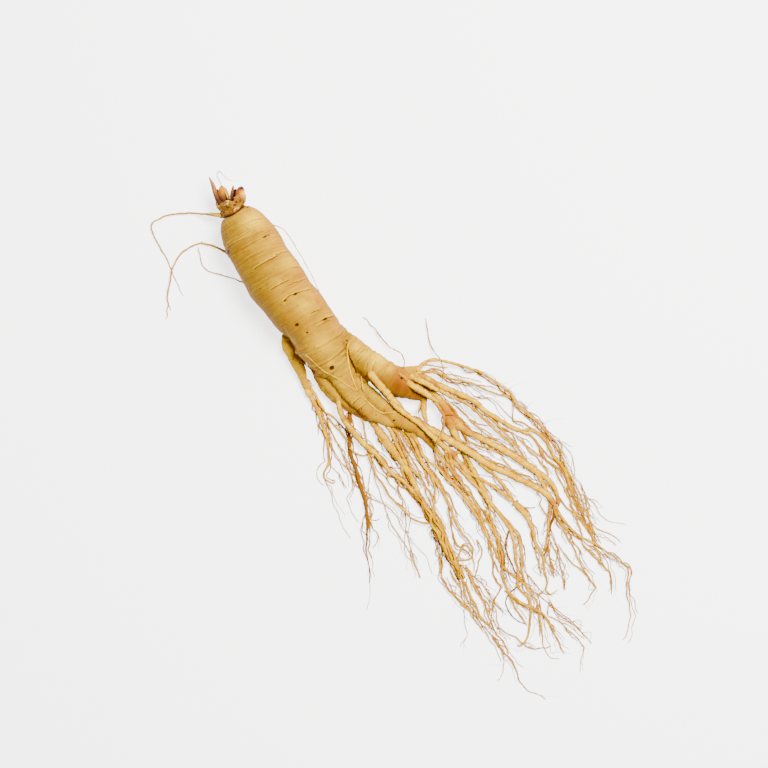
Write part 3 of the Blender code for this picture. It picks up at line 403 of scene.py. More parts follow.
        (446.5, 409, 4), (451, 416, 4.5), (456, 422.5, 4.8), (462, 428, 4), (469, 432.5, 3.2),
        (476, 436, 3), (484, 440, 3), (492, 444, 3), (500, 448, 3), (507, 452, 3), (514, 456.5, 3.2),
        (521, 461, 3.5), (528, 465.5, 3.6), (534.5, 470, 3.6), (540.5, 474, 3.2), (546.5, 478, 2.8),
        (551.5, 482.5, 2.5), (555.5, 488, 2.1), (558, 494, 2), (559.5, 501, 1.8), (560.5, 508, 1.5),)),
    ("right_deep_b", "0,4 1,2.5", (
        (537, 471.5, 2.2), (540.5, 477.5, 2.1), (544, 484, 2.1), (547, 490, 2), (550, 496, 2),)),
    ("right_down", "0,5 .1,5 .25,3.2 .5,2.5 1,1.3", (
        (447, 411, 3.5), (450, 421, 4.5), (453.5, 430, 3.8), (458, 438, 3), (462.5, 447, 2.3),
        (466, 455, 2.3), (470, 463, 2.1), (474, 471, 2), (478, 479, 2), (481.5, 486, 2),
        (485, 493, 2), (489, 500, 2.1), (493.5, 506.5, 2.1), (498.5, 512.5, 1.9), (503.5, 519, 1.8),
        (508, 525.5, 1.7), (512, 531.5, 1.7), (514, 539, 1.6), (515.5, 547, 1.5), (516.5, 555, 1.4),
        (517, 562, 1.3), (519, 570, 1.3), (519, 578, 1.3), (519, 586, 1.3), (522, 592.5, 1.2),
        (527, 597, 1.2), (531, 603, 1.5), (532, 611, 1.4), (532, 619.5, 1.1), (531, 627, 1),
        (530, 635, 1.1), (528.5, 641, 0.9), (524.5, 646.5, 0.9), (521, 649, 0.7), (518, 647.5, 0.5),)),
    ("right_down_b", "0,2 1,1", (
        (490, 506, 1.2), (491, 513, 1.1), (492, 520, 1), (493.5, 527, 1), (495, 533, 0.9),)),
    ("right_fine", "0,2.5 1,1", (
        (496, 509, 1.2), (502, 515.5, 1.1), (508, 521.5, 1.1), (513.5, 528, 1.2), (517.5, 534, 1.3),
        (520.5, 541, 1.4), (522.5, 554, 1.4), (523.5, 563, 1.3), (523, 572, 1.1), (525, 581, 1.1),
        (528, 589, 1.1), (533, 596, 1), (538, 603, 1), (539.5, 611, 1), (541, 619.5, 1),
        (543, 628, 1), (543.5, 637, 0.7), (544.5, 646, 0.5), (547.5, 654, 0.4), (553, 660.5, 0.3),
        (562, 662, 0.25),)),
    ("right_link", "0,9 .5,9.5 1,10", (
        (424, 399, 3), (424, 405, 2.8), (424.3, 411, 2.7), (425, 417, 2.6), (428, 422.5, 2.6),)),
    ("right_link_b", "0,9 1,9", (
        (421.5, 401, 1), (420.5, 407, 0.9), (418, 414, 0.8),)),
    ("right_upper", "0,9 .2,6 .5,4 1,2.2", (
        (420, 375.5, 3), (428, 379, 3.2), (436, 383.5, 3.2), (445, 388, 3.1), (455, 392, 3.1),
        (464, 396, 3), (471.5, 399.5, 2.9), (478, 404, 2.8), (483.5, 409.5, 2.7), (490, 414, 2.6),
        (497, 418, 2.5), (504, 422.5, 2.4), (511, 427, 2.3), (518.5, 430, 2.2), (525, 432.5, 2),
        (531, 435, 1.5), (535.5, 439.5, 1.3), (539.5, 445, 1.4), (542.5, 451, 1.3),
        (545.5, 456.5, 1), (548, 459, 0.6),)),
    ("right_upper_b", "0,3 .3,3 1,1.2", (
        (526, 430.5, 1.6), (532, 430.5, 1.4), (538, 433, 1.6), (543.5, 437, 2), (548, 442.5, 2),
        (551.5, 448.5, 1.9), (554.5, 455, 1.8), (558, 460.5, 1.7), (562.5, 465.5, 1.6),
        (566.5, 471, 1.5), (569, 478, 1.4), (571, 485.5, 1.3), (573, 493, 1.2), (576.5, 500, 1.1),
        (579, 508, 1), (581, 516, 0.9),)),
    ("right_upper_c", "0,2 1,1.5", (
        (541, 447, 1), (542, 453, 1), (546, 460, 1), (551, 464, 1), (557, 468, 1), (563, 471, 1),
        (567, 477, 1), (569, 484, 1), (570, 492, 1), (571, 499, 0.9),)),
    ("right_over", "0,14 .25,11.8 .4,10 .6,7 1,2", (
        (408.5, 373.5, 1.9), (415, 375.5, 1.9), (421.5, 379, 1.9), (428.5, 383.5, 1.9),
        (436, 388, 1.9), (443, 392.2, 1.9), (450, 396, 1.9), (457.5, 399, 1.7), (464.5, 402, 1.7),
        (471, 407, 1.6), (477.5, 412.5, 1.6), (484, 418.5, 1.5), (490, 424.5, 1.5), (496, 430, 1.4),
        (502, 435.5, 1.3), (508, 440.5, 1.2), (514, 444.5, 1.2), (519, 448, 1.1), (522, 454, 0.9),
        (524, 460, 0.6),)),
    ("right_cross", "0,13.5 .5,11.5 .62,12.8 .78,15 .88,17 1,12", (
        (401.5, 376.5, 2), (407.5, 379, 2.2), (414, 383.5, 2.2), (420, 388, 2.2), (426.5, 393, 2.2),
        (432, 398, 2.1), (437, 404, 2), (441, 410, 1.9), (443.8, 414.5, 1.7), (444.3, 421, 1),
        (443.8, 428, 0.9), (441.5, 434.5, 0.9), (438.5, 440.5, 0.9), (436, 446, 0.9),
        (434.5, 452, 0.8),)),
    ("right_cross_b", "0,12 1,6", (
        (443.8, 414.5, 1), (449.5, 414.3, 0.9), (455, 415.5, 0.8), (460, 419.5, 0.7),
        (464, 424, 0.6),)),
    ("outer", "0,13 .05,13 .12,10 .25,5 .6,3 1,1", (
        (403, 371.5, 3.8), (409.5, 370, 3.6), (415, 369.5, 3.4), (419.5, 367.8, 2.6),
        (421.5, 365, 2), (424.5, 362.5, 1.7), (429, 360.5, 1.5), (435, 359.8, 1.5),
        (441, 360.3, 1.4), (448, 361.8, 1.3), (456, 363.8, 1.3), (464, 366.3, 1.3), (472, 369, 1.3),
        (479.5, 371.2, 1.3), (486, 375, 1.2), (492.5, 379.5, 1.2), (499, 384, 1.2),
        (505.5, 388.5, 1.2), (511, 392.5, 1.3), (514, 398, 1.4), (518, 403, 1.5), (523, 408.5, 1.5),
        (528, 413.5, 1.3), (533.5, 418, 1.4), (539, 422.5, 1.4), (544, 428, 1.2), (549, 434, 1.1),
        (553.5, 439, 1), (558, 443.5, 0.8), (561.5, 449.5, 0.7), (564, 457, 0.7), (566.5, 465, 0.7),
        (569.5, 472, 0.8), (573.5, 478.5, 0.8), (577.5, 486.5, 0.9), (581.5, 494.5, 0.8),
        (584, 502, 0.7), (587.5, 511, 0.8), (590.5, 519, 0.8), (594, 525, 0.7), (599, 530, 0.6),
        (604.5, 532.5, 0.6), (610, 534.5, 0.5), (618, 539, 0.45), (623.5, 544, 0.3),)),
    ("outer_b", "0,8 1,5", (
        (424, 364.5, 1), (430, 365, 0.8), (436, 366.5, 0.7), (442, 367.5, 0.6), (449, 367.5, 0.8),)),
    ("outer_c", "0,2.5 1,2", (
        (514, 400, 0.7), (514.5, 408, 0.6), (514, 417, 0.6), (515, 421, 0.8), (519, 422, 0.8),
        (526, 424, 0.8), (532, 428, 1), (538, 431, 1),)),
    ("fine_102", "0,2 1,1", (
        (557, 439, 0.4), (562, 443, 0.4), (568, 448, 0.4), (573, 455, 0.4), (575, 462, 0.4),
        (576.5, 470, 0.4), (577.5, 478, 0.4),)),
    ("fine_103", "0,2 1,1", (
        (520, 400, 0.5), (524, 403, 0.5), (530, 409, 0.4),)),
    ("fine_104", "0,2 1,1", (
        (585, 508, 0.8), (589, 516, 0.8), (592, 524, 0.7), (594, 531, 0.7), (595.5, 537, 0.6),)),
    ("fine_105", "0,2 1,1", (
        (572, 505, 0.9), (576, 515, 0.9), (579, 523, 0.9), (582, 531, 0.9), (585, 538, 0.9),)),
    ("outer_low", "0,13 .3,9 .6,5.5 1,3", (
        (412, 374, 1.8), (418, 373, 1.9), (424, 371.8, 1.8), (430, 371.7, 1.7), (436, 372.3, 1.7),
        (441.5, 374.3, 1.5), (447, 377, 1.4), (453.5, 379, 1.3), (460, 380.2, 1.2),
        (466, 381.8, 1.2), (473, 383.3, 1.1), (480, 386.5, 1.1), (487, 389.8, 1), (494, 393, 1),
        (501, 394.8, 1), (507, 395.8, 1.3), (513, 398.5, 1.1),)),
    ("outer_low_b", "0,6 1,3", (
        (441, 376, 1), (446, 379.5, 0.9), (450, 382.5, 0.7), (456, 384.5, 0.6), (461, 388, 0.5),
        (464, 393, 0.4),)),
    ("outer_low_c", "0,4 1,3", (
        (478, 385, 0.6), (485, 386, 0.6), (491, 386.5, 0.5), (497, 389, 0.4), (503, 391.5, 0.4),)),
    ("outer_in", "0,4 1,1.5", (
        (448, 370, 0.4), (455, 375, 0.4), (461, 380.5, 0.4), (466, 386, 0.4), (471, 392, 0.4),
        (476, 397, 0.4), (484, 397.5, 0.4), (492, 398.5, 0.4), (498, 402.5, 0.4), (502.5, 408, 0.5),
        (506.5, 412.5, 0.5), (511, 417, 0.5), (515, 420, 0.5),)),
    ("mesh_a", "0,3.5 1,3.5", (
        (463, 430, 1.2), (466, 436.5, 1.2), (470, 441.5, 1.1), (476, 445, 1.1), (483, 447.3, 1.1),
        (490, 449.5, 1.1), (497, 452, 1.1), (504, 454, 1.1), (510, 456, 1.1),)),
    ("fine_111", "0,2 1,1", (
        (502, 457, 1), (506, 462, 1), (510.5, 467, 1), (515, 472.5, 1), (520, 477, 0.9),)),
    ("mesh_b", "0,6 .3,3 1,1.5", (
        (451, 402, 0.9), (456, 406.5, 0.9), (462, 411, 0.9), (467.5, 416, 0.9), (472, 421.5, 0.9),
        (477.5, 427, 0.9), (484.5, 432.5, 0.8), (491, 437.5, 0.8), (497, 440.5, 0.8),
        (504, 445, 0.8), (510, 449.5, 0.8), (516, 453, 0.7), (520, 458, 0.5),)),
    ("fine_113", "0,2 1,1", (
        (470, 420, 0.7), (477, 423, 0.7), (483, 425.5, 0.6), (489, 426.5, 0.6),)),
    ("fine_114", "0,2 1,1", (
        (500, 427, 0.7), (506, 429, 0.7), (511, 432.5, 0.7), (515, 437, 0.7), (517, 442.5, 0.8),
        (520, 448, 0.8),)),
    ("fine_115", "0,2 1,1", (
        (522, 437, 0.9), (525, 442, 0.9), (528, 448, 0.9), (532, 453, 0.9), (537, 456.5, 0.8),
        (540, 461, 0.8), (543.5, 466, 0.8), (548, 471, 0.8), (551, 478, 0.7),)),
    ("tip_a", "0,2.5 1,1", (
        (507, 592, 1.3), (512.5, 598, 1.5), (518, 602, 1.4), (524, 605.5, 1.4), (530.5, 608.5, 1.6),
        (537, 612, 1.7), (543, 616, 1.4), (548, 621, 1.2), (552, 627.5, 1.1), (555, 634, 0.9),
        (559, 642, 0.8), (562.5, 650, 0.7), (566.5, 657, 0.5),)),
    ("tip_b", "0,2 1,1", (
        (503, 568, 1.2), (508, 572, 1), (513, 577, 1), (519, 581, 1), (525, 585.5, 1),
        (530, 590.5, 0.9), (535, 594, 0.8), (541, 597, 0.7), (546, 592, 0.7),)),
    ("fine_118", "0,2 1,1", (
        (499, 629.5, 0.7), (505, 634, 0.6), (511, 637, 0.6), (517.5, 640, 0.6), (523.5, 646, 0.7),
        (530, 650.5, 0.6), (537, 651.5, 0.5), (544, 650.5, 0.5), (549, 650.5, 0.5),
        (552.5, 648.5, 0.5),)),
    ("fine_119", "0,2 1,1", (
        (550, 600, 0.6), (554, 607, 0.6), (557.5, 613.5, 0.6), (564, 619.5, 0.55), (571, 624.5, 0.5),
        (578, 629, 0.5), (584, 635, 0.45), (589.5, 641.5, 0.45), (594, 647, 0.35),)),
    ("fine_120", "0,2 1,1", (
        (551, 604, 0.5), (549.5, 612, 0.6), (550, 618, 0.5), (556, 620.5, 0.55), (563, 626, 0.5),
        (571, 633, 0.5), (579, 640, 0.5), (584.5, 648, 0.4), (585.5, 653, 0.35), (583.5, 662, 0.35),
        (582, 676, 0.2),)),
    ("fine_121", "0,2 1,1", (
        (470, 575, 0.7), (474, 583, 0.7), (478, 590, 0.8), (482, 597, 0.7), (486, 604, 0.6),
        (487, 612, 0.7), (490, 620, 0.7), (494, 629, 0.8), (498, 637, 0.9), (503, 643, 0.7),
        (508, 651, 0.7), (510, 658, 0.6),)),
    ("fine_122", "0,2 1,1", (
        (490, 602, 0.5), (497, 607, 0.4), (503, 613, 0.4), (508, 618, 0.3),)),
    ("fine_123", "0,2 1,1", (
        (488, 598, 0.5), (494, 606, 0.4), (497.5, 613, 0.4), (498, 622, 0.5), (500, 630, 0.6),)),
    ("fine_124", "0,2 1,1", (
        (478, 541, 0.7), (482, 549, 0.7), (482.5, 557, 0.7), (480, 563, 0.7), (478.5, 571, 0.6),
        (476, 579, 0.6),)),
    ("fine_125", "0,2 1,1", (
        (489, 548, 0.7), (493, 555, 0.7), (494.5, 565, 0.7), (494, 576, 0.9), (498, 584, 0.9),
        (504, 590, 0.9),)),
    ("on_right", "0,19 .07,24.5 .16,26.5 .35,24.5 .6,19 1,12", ((370, 370.5, 3.2), (372.5, 376, 3.8), (378, 383, 3.5), (385, 391, 3.3), (392, 399, 3.3), (399, 406.5, 3.2), (405, 412.5, 3.0))),
    ("end_a", "0,14 .14,19 .26,20.5 .5,19 1,14", ((408, 375, 2.4), (415, 378.5, 2.8), (424, 382.5, 2.8), (433, 387, 2.8), (441, 392, 2.6))),
    ("end_b", "0,15 .12,21 .25,23 .5,19 1,12", ((404, 379, 2.6), (411, 384.5, 3.4), (420, 390, 3.6), (430, 396, 3.4), (440, 403, 3.2))),
    ("crown_root_foot", "0,22 1,17", ((227, 217, 2.0), (223.5, 216.4, 2.3), (219, 215.0, 2.0), (213, 214.2, 1.5), (207, 213.6, 1.2))),
    ("knot_a", "0,9 .4,6 1,3", ((434, 438, 2.8), (443, 446, 2.8), (451, 453, 3.2), (455, 457, 2.6), (461, 465, 1.9), (470, 477, 1.6), (478, 487, 1.3))),
    ("knot_b", "0,6 1,2", ((450, 452, 2.0), (451, 459, 2.0), (453, 468, 2.2), (456, 474, 1.8), (460, 481, 1.4), (466, 490, 1.1))),
    ("knot_c", "0,6 1,9", ((452, 454, 2.2), (458, 453, 1.7), (464, 448, 1.8), (470, 443, 1.6))),
    ("knot_d", "0,6 1,2", ((447, 449, 1.6), (446, 456, 1.4), (449, 463, 1.3), (453, 470, 1.4), (455, 480, 1.2), (462, 492, 1.0))),
    ("more_a", "0,3 .4,2 1,1", ((487, 415, 1.0), (500, 427, 1.1), (517, 445, 1.0), (530, 465, 0.9), (540, 477, 1.0), (550, 487, 0.9), (557, 495, 0.8))),
    ("more_b", "0,2.5 1,1", ((500, 432, 0.7), (510, 442, 0.8), (525, 460, 0.7), (540, 472, 0.7), (552, 484, 0.6))),
    ("more_c", "0,2 1,1", ((517, 437, 0.8), (532, 450, 0.9), (550, 462, 0.9), (562, 472, 0.8), (572, 485, 0.8), (575, 500, 0.7), (580, 512, 0.6))),
    ("more_d", "0,2 1,1", ((540, 445, 1.0), (550, 457, 1.0), (560, 465, 0.9), (569, 480, 0.8), (577, 497, 0.7), (586, 516, 0.6))),
    ("more_e", "0,2 1,1", ((573, 493, 0.9), (583, 513, 1.0), (590, 530, 0.9), (595, 541, 0.8), (597, 552, 0.6))),
    ("more_f", "0,3.5 .3,2.5 1,1", ((549, 495, 2.2), (554, 502, 2.4), (557, 511, 1.8), (559, 521, 1.4), (566, 528, 1.2), (574, 534, 1.0))),
    ("more_g", "0,3 1,1", ((553, 499, 1.6), (556, 512, 1.5), (553, 524, 1.3), (550, 537, 1.1), (549, 549, 0.9), (545, 561, 0.8), (547, 575, 0.6))),
    ("more_h", "0,1.5 1,.8", ((552, 535, 0.5), (560, 550, 0.45), (562, 565, 0.4), (566, 580, 0.4), (567, 592, 0.35))),
    ("more_i", "0,1.5 1,.8", ((572, 535, 0.6), (590, 547, 0.5), (607, 560, 0.45), (612, 575, 0.4), (614, 597, 0.35))),
    ("more_j", "0,2 1,1", ((559, 497, 1.0), (565, 505, 0.9), (572, 512, 0.9), (580, 520, 0.8), (590, 530, 0.8), (600, 547, 0.6))),
    ("more_k", "0,2 1,1", ((556, 470, 0.8), (562, 482, 0.9), (570, 497, 0.9), (575, 510, 0.8), (585, 525, 0.8), (595, 540, 0.6))),
    ("more_l", "0,4 .4,2.4 1,1.4", ((474, 468, 1.3), (485, 487, 1.3), (490, 505, 1.2), (492, 520, 1.2), (497, 535, 1.1), (500, 552, 1.1), (502, 567, 1.0), (505, 585, 0.8))),
    ("more_m", "0,5 .2,3 1,1.4", ((440, 458, 1.3), (446, 470, 1.5), (452, 482, 1.7), (462, 494, 1.9), (472, 504, 1.8), (480, 516, 1.5), (486, 530, 1.3), (490, 545, 1.1), (494, 560, 1.0), (500, 575, 0.8))),
    ("more_n", "0,5 .2,3 1,1.2", ((432, 442, 1.2), (437, 460, 1.2), (450, 480, 1.2), (465, 492, 1.2), (475, 510, 1.1), (487, 530, 1.0), (492, 550, 0.9), (495, 570, 0.8))),
    ("more_o", "0,6 .2,3.5 1,1.5", ((413, 432, 1.3), (417, 457, 1.4), (427, 470, 1.3), (435, 487, 1.3), (435, 510, 1.2), (444, 528, 1.2), (447, 546, 1.0))),
    ("more_p", "0,2 1,1", ((445, 540, 1.0), (441, 560, 0.8), (442, 577, 0.8), (450, 592, 0.8), (465, 607, 0.7), (477, 620, 0.6), (485, 632, 0.5))),
    ("more_q", "0,1.5 1,.8", ((461, 566, 0.6), (470, 575, 0.6), (482, 585, 0.5), (492, 600, 0.45), (505, 615, 0.35))),
    ("more_r", "0,2 1,1", ((458, 560, 1.0), (465, 547, 0.9), (472, 553, 0.9), (473, 560, 0.8), (465, 562, 0.8), (452, 562, 0.6))),
    ("more_s", "0,2 1,1", ((510, 532, 0.9), (507, 550, 0.8), (515, 570, 0.8), (520, 585, 0.7), (510, 597, 0.6), (507, 607, 0.6), (515, 620, 0.6), (527, 627, 0.4))),
    ("more_t", "0,1.5 1,.8", ((525, 572, 0.7), (533, 581, 0.6), (540, 590, 0.5), (550, 597, 0.45), (560, 592, 0.35))),
    ("more_u", "0,1.2 1,.7", ((540, 597, 0.5), (552, 607, 0.5), (565, 617, 0.45), (580, 630, 0.4), (587, 640, 0.35))),
    ("more_v", "0,1.2 1,.7", ((539, 600, 0.6), (540, 620, 0.5), (542, 640, 0.4))),
    ("more_w", "0,2.2 1,1", ((485, 510, 1.0), (492, 525, 1.0), (497, 542, 0.9), (502, 562, 0.9), (510, 575, 0.8), (525, 580, 0.7))),
    ("more_x", "0,1.2 1,.7", ((407, 532, 0.45), (412, 555, 0.4), (421, 580, 0.35))),
    ("more_y", "0,1.5 1,.7", ((437, 520, 0.6), (432, 535, 0.5), (442, 550, 0.45), (442, 572, 0.35))),
    ("more_z", "0,3 .5,2 1,1", ((466, 566, 1.4), (470, 575, 1.3), (474, 586, 1.2), (477, 593, 1.0), (484, 603, 0.8), (490, 616, 0.6))),
    ("more_aa", "0,5 .4,4 1,2", ((448, 408, 1.2), (455, 414, 1.2), (463, 421, 1.1), (470, 429, 1.0), (480, 437, 0.9), (492, 448, 0.8), (506, 458, 0.7))),
    ("more_ab", "0,6 .4,4 1,2", ((444, 400, 1.2), (452, 407, 1.3), (458, 418, 1.3), (460, 428, 1.1), (466, 440, 0.9), (469, 452, 0.7))),
    ("more_ac", "0,5 .4,3 1,1.5", ((396, 428, 1.6), (404, 434, 1.6), (410, 444, 1.5), (416, 456, 1.3), (424, 470, 1.1), (430, 488, 0.9))),
    ("more_ad", "0,6 .4,3 1,1.5", ((388, 424, 1.5), (397, 434, 1.6), (401, 445, 1.4), (408, 460, 1.2), (413, 476, 1.0), (418, 492, 0.8))),
    ("more_ae", "0,2 1,1", ((583, 484, 0.6), (588, 500, 0.6), (590, 515, 0.6), (596, 532, 0.5), (604, 546, 0.4))),
    ("more_af", "0,2 1,1", ((503, 588, 0.9), (498, 598, 0.8), (494, 608, 0.6), (492, 622, 0.5))),
)

# how far each big root runs into the blended mesh before its own skin takes over
BLENDED = {"left_main": 16, "back_long": 14, "low_long": 8, "main_low": 16, "main_side": 8, "long": 22,
           "front": 14, "under_a": 10, "under_b": 10, "under_c": 8, "right_deep": 14, "right_link": 10,
           "right_upper": 12, "right_over": 10, "right_cross": 10, "outer": 20, "outer_low": 8,
           "left_side": 8, "side_upper": 9, "side_lower": 7}

# marks on the skin: x, y, half length across the axis, half width, depth, darkness
SCARS = (
    (266.0, 239.4, 2.0, 0.7, 0.3, 1.0), (270, 237.6, 1.6, 0.7, 0.3, 0.8), (296.6, 295.4, 1.7, 0.8, 0.4, 1.0),
    (286.2, 302.3, 1.2, 0.9, 0.4, 1.0), (326, 319.3, 1.8, 0.9, 0.4, 1.0), (298, 326, 2.6, 1.5, 0.6, 0.85),
    (308.3, 333.6, 1.6, 1.0, 0.4, 0.85), (332.2, 368, 2.9, 2.2, 0.9, 1.0), (262.8, 290, 0.9, 0.9, 0.2, 0.7),
    (283, 286, 0.8, 0.7, 0.2, 0.7), (243, 251.3, 1.0, 0.8, 0.2, 0.6), (229, 253.8, 1.2, 2.0, 0.4, 0.8),
    (257.9, 304, 1.0, 0.9, 0.2, 0.7), (264.6, 312, 1.1, 1.1, 0.3, 0.8), (248.5, 208.6, 1.3, 0.8, 0.3, 0.75),
    (220.0, 205.2, 1.5, 1.5, 0.4, 1.0), (236.5, 206.5, 1.7, 1.1, 0.3, 0.75), (243.8, 203.6, 1.3, 1.7, 0.3, 0.9),
    (229.5, 209.0, 1.6, 0.9, 0.2, 0.6), (225.0, 213.3, 1.5, 1.0, 0.2, 0.7), (239.5, 199.8, 1.2, 0.9, 0.2, 0.6),
    (248.7, 208.6, 1.7, 0.9, 0.3, 0.75), (298.4, 326.0, 2.2, 1.7, 0.4, 0.9), (308.0, 333.6, 1.1, 1.2, 0.3, 0.9), (297.1, 295.4, 2.3, 1.1, 0.5, 1.0),
    (286.4, 302.2, 1.3, 1.0, 0.3, 0.9), (326.4, 319.6, 3.0, 1.2, 0.5, 1.0), (267.3, 239.0, 2.2, 1.0, 0.3, 0.9),
    (229.8, 253.2, 1.8, 2.2, 0.4, 0.9), (265.5, 311.5, 1.0, 1.6, 0.3, 0.6), (284.6, 285.8, 1.5, 0.6, 0.2, 0.6),
    (257.0, 271.0, 1.6, 0.7, 0.2, 0.6), (322.5, 333.5, 1.0, 0.5, 0.2, 0.5),
    (361.5, 409, 0.9, 0.9, 0.3, 0.9), (354, 403, 0.9, 0.9, 0.2, 0.7), (376, 415, 1.0, 0.8, 0.3, 0.9),
    (384, 411, 0.9, 0.8, 0.3, 0.9), (347, 341, 2.6, 1.2, 0.6, 0.6), (220.2, 205.1, 1.0, 1.0, 0.4, 1.0),
    (237.3, 203.6, 1.4, 0.9, 0.3, 0.8), (235.0, 207.5, 1.2, 0.6, 0.2, 0.8), (223.0, 212.0, 1.0, 0.8, 0.3, 0.9),
    (244.0, 202.8, 0.9, 1.2, 0.3, 1.0), (225.5, 206.0, 0.9, 0.7, 0.3, 0.7), (228.5, 208.0, 0.8, 0.5, 0.2, 0.7),
    (231.5, 209.6, 0.8, 0.5, 0.2, 0.7), (221.0, 210.0, 0.7, 0.7, 0.2, 0.6), (401.5, 378.0, 1.6, 1.4, 0.5, 1.0),
    (394.0, 420.5, 2.0, 1.2, 0.4, 0.9), (366.0, 350.5, 1.6, 0.4, 0.1, 0.5))
# x, y, size, strength: orange patches, then brown ones (partly painted shade), then painted highlights, then swellings
# with their height
BLUSHES = ((388, 410, 6.0, 0.45), (402, 420, 6.0, 0.6), (415, 430, 6.0, 0.65), (427, 441, 6.0, 0.7), (397, 428, 5.0, 0.4),
           (318, 383, 5.0, 0.3), (303, 372, 5.0, 0.35), (291, 346, 4.0, 0.3), (391, 384, 5.0, 0.35), (407, 384, 5.0, 0.5), (348, 408, 6.0, 0.45), (360, 415, 6.0, 0.5), (318, 372, 8.0, 0.3), (349, 383, 4.0, 0.6), (352, 391, 3.2, 0.6), (318, 303, 2.4, 0.8), (400, 375, 6.5, 0.8), (385, 367, 4.0, 0.45),
           (300, 352, 5.0, 0.3), (372, 412, 5.0, 0.4), (424, 421, 6.0, 0.5), (222.9, 203.2, 1.7, 0.9), (239, 198.6, 2.2, 0.6),
           (234, 201.4, 1.8, 0.55), (250, 212, 5.0, 0.2), (276, 262, 6.0, 0.2), (300, 271, 6.0, 0.25), (376, 372, 5.0, 0.4))
# brown patches: partly the root's own darker orange-brown, partly painted shade where limbs lie under and between
# others
BROWNS_AND_SHADE = ((398, 386, 11.0, 1.0), (385, 386, 6.5, 0.6), (406, 390, 8.0, 0.95), (417, 393, 7.0, 0.9), (414, 379, 4.0, 0.6),
          (318, 370, 8.5, 0.3), (330, 388, 8.5, 0.25),
          (341, 401, 7.0, 0.35), (372, 399, 7.0, 0.25), (358, 412, 6.0, 0.4), (231, 211, 7.0, 0.35), (269, 262, 5.0, 0.18),
          (286, 322, 3.0, 0.35), (352, 362, 2.5, 0.4), (224.5, 216, 3.0, 0.7), (385, 412, 5.0, 0.35), (230, 250, 5.0, 0.3),
          (286, 326, 4.0, 0.3), (243, 208, 2.6, 0.5), (268, 240, 3.0, 0.3), (300, 328, 5.0, 0.2), (240, 203.5, 2.2, 0.4))
# painted highlights: lighter colour where the light falls brightest, on the tops only
PAINTED_HIGHLIGHTS = ((336, 383, 8.0, 0.35), (350, 398, 8.0, 0.35), (343, 391, 6.0, 0.2), (361, 408, 6.0, 0.3), (291, 344, 5.0, 0.4), (296, 361, 6.0, 0.35), (318, 368, 6.0, 0.35), (372, 398, 8.0, 0.4), (388, 411, 6.0, 0.4), (254, 223, 11.0, 0.8), (290, 264, 9.0, 0.35), (305, 305, 10.0, 0.55), (322, 346, 13.0, 0.5), (341, 384, 7.0, 0.5),
         (377, 361, 10.0, 1.0), (356, 349, 7.0, 0.7), (366, 354, 7.0, 0.6), (282, 285, 7.0, 0.25), (222.3, 202.3, 1.5, 0.6),
         (228.5, 201.8, 2.4, 0.8), (235.5, 200.4, 1.6, 0.7), (241.5, 196.5, 2.2, 0.6), (268, 240, 10.0, 0.2),
         (232.5, 205.5, 2.6, 0.4), (331, 363, 5.0, 0.5), (389, 369, 4.0, 0.5))
SWELLS = ((222.3, 202.8, 2.3, 1.4), (229.3, 205.4, 3.4, 1.2), (236.6, 201.0, 2.4, 0.8), (226.0, 202.5, 1.6, 0.5),
          (241.0, 199.5, 3.4, 1.3), (308, 300, 9.0, 0.9), (262, 258, 9.0, 0.6), (275, 300, 9.0, 0.7), (322, 350, 10.0, 0.8))
# the thin creases and the seams between limbs: x and y of both ends, depth, half width, how dark; the dark line is
# partly the crease's own colour and partly painted shade, most of all at the seams
CREASES = (
    (256.0, 271.6, 279.5, 258.0, 0.7, 0.50, 1.0), (262.0, 265.4, 289.0, 251.6, 0.5, 0.45, 0.75),
    (241.0, 280.3, 256.0, 273.6, 0.3, 0.35, 0.55), (271.5, 292.3, 290.8, 282.0, 0.8, 0.45, 0.95),
    (287.5, 288.8, 305.4, 280.6, 0.6, 0.45, 0.75), (285.4, 303.4, 291.4, 297.0, 0.7, 0.60, 1.0),
    (290.8, 297.4, 311.0, 290.5, 0.8, 0.45, 1.0), (293.2, 269.6, 302.6, 267.6, 0.4, 0.45, 0.7),
    (311.6, 315.2, 321.2, 310.5, 0.6, 0.50, 1.0), (304.0, 331.2, 323.0, 321.4, 0.5, 0.40, 0.45),
    (321.5, 321.8, 337.2, 315.2, 0.8, 0.55, 1.0), (317.5, 328.2, 331.0, 320.6, 0.5, 0.45, 0.7),
    (226.5, 250.5, 250.0, 239.5, 0.3, 0.40, 0.6), (228.0, 247.0, 263.0, 229.0, 0.25, 0.35, 0.45),
    (233.0, 233.5, 262.0, 219.5, 0.25, 0.35, 0.45), (243.0, 252.0, 263.0, 241.0, 0.3, 0.35, 0.5),
    (247.0, 262.5, 266.0, 252.6, 0.25, 0.35, 0.4), (262.0, 285.0, 277.0, 277.0, 0.25, 0.35, 0.45),
    (352.0, 404.6, 361.0, 397.0, 0.4, 0.45, 0.8), (356.5, 411.5, 366.5, 403.5, 0.4, 0.45, 0.8),
    (346.0, 397.5, 355.0, 390.5, 0.25, 0.40, 0.45), (360.0, 352.6, 369.5, 348.2, 0.3, 0.35, 0.6),
    (371.0, 374.0, 376.0, 360.5, 0.4, 0.45, 0.7), (366.0, 369.0, 370.5, 356.0, 0.3, 0.40, 0.5),
    (345.2, 343.0, 349.0, 358.0, 0.9, 0.80, 1.0), (349.0, 357.5, 357.0, 375.0, 1.0, 0.90, 1.0),
    (356.8, 374.6, 365.0, 383.0, 1.0, 0.90, 1.0), (284.0, 328.0, 288.0, 337.0, 0.4, 0.50, 0.5),
    (288.0, 337.0, 297.0, 349.5, 0.4, 0.50, 0.5), (398.0, 374.6, 406.0, 381.0, 0.7, 0.80, 1.0))


def heights(text):
    return [tuple(float(v) for v in pair.split(",")) for pair in text.split()]


def height_at(table, share):
    for (a, za), (b, zb) in zip(table, table[1:]):
        if share <= b:
            t = (share - a) / (b - a)
            t = t * t * (3.0 - 2.0 * t)
            return za + (zb - za) * t
    return table[-1][1]


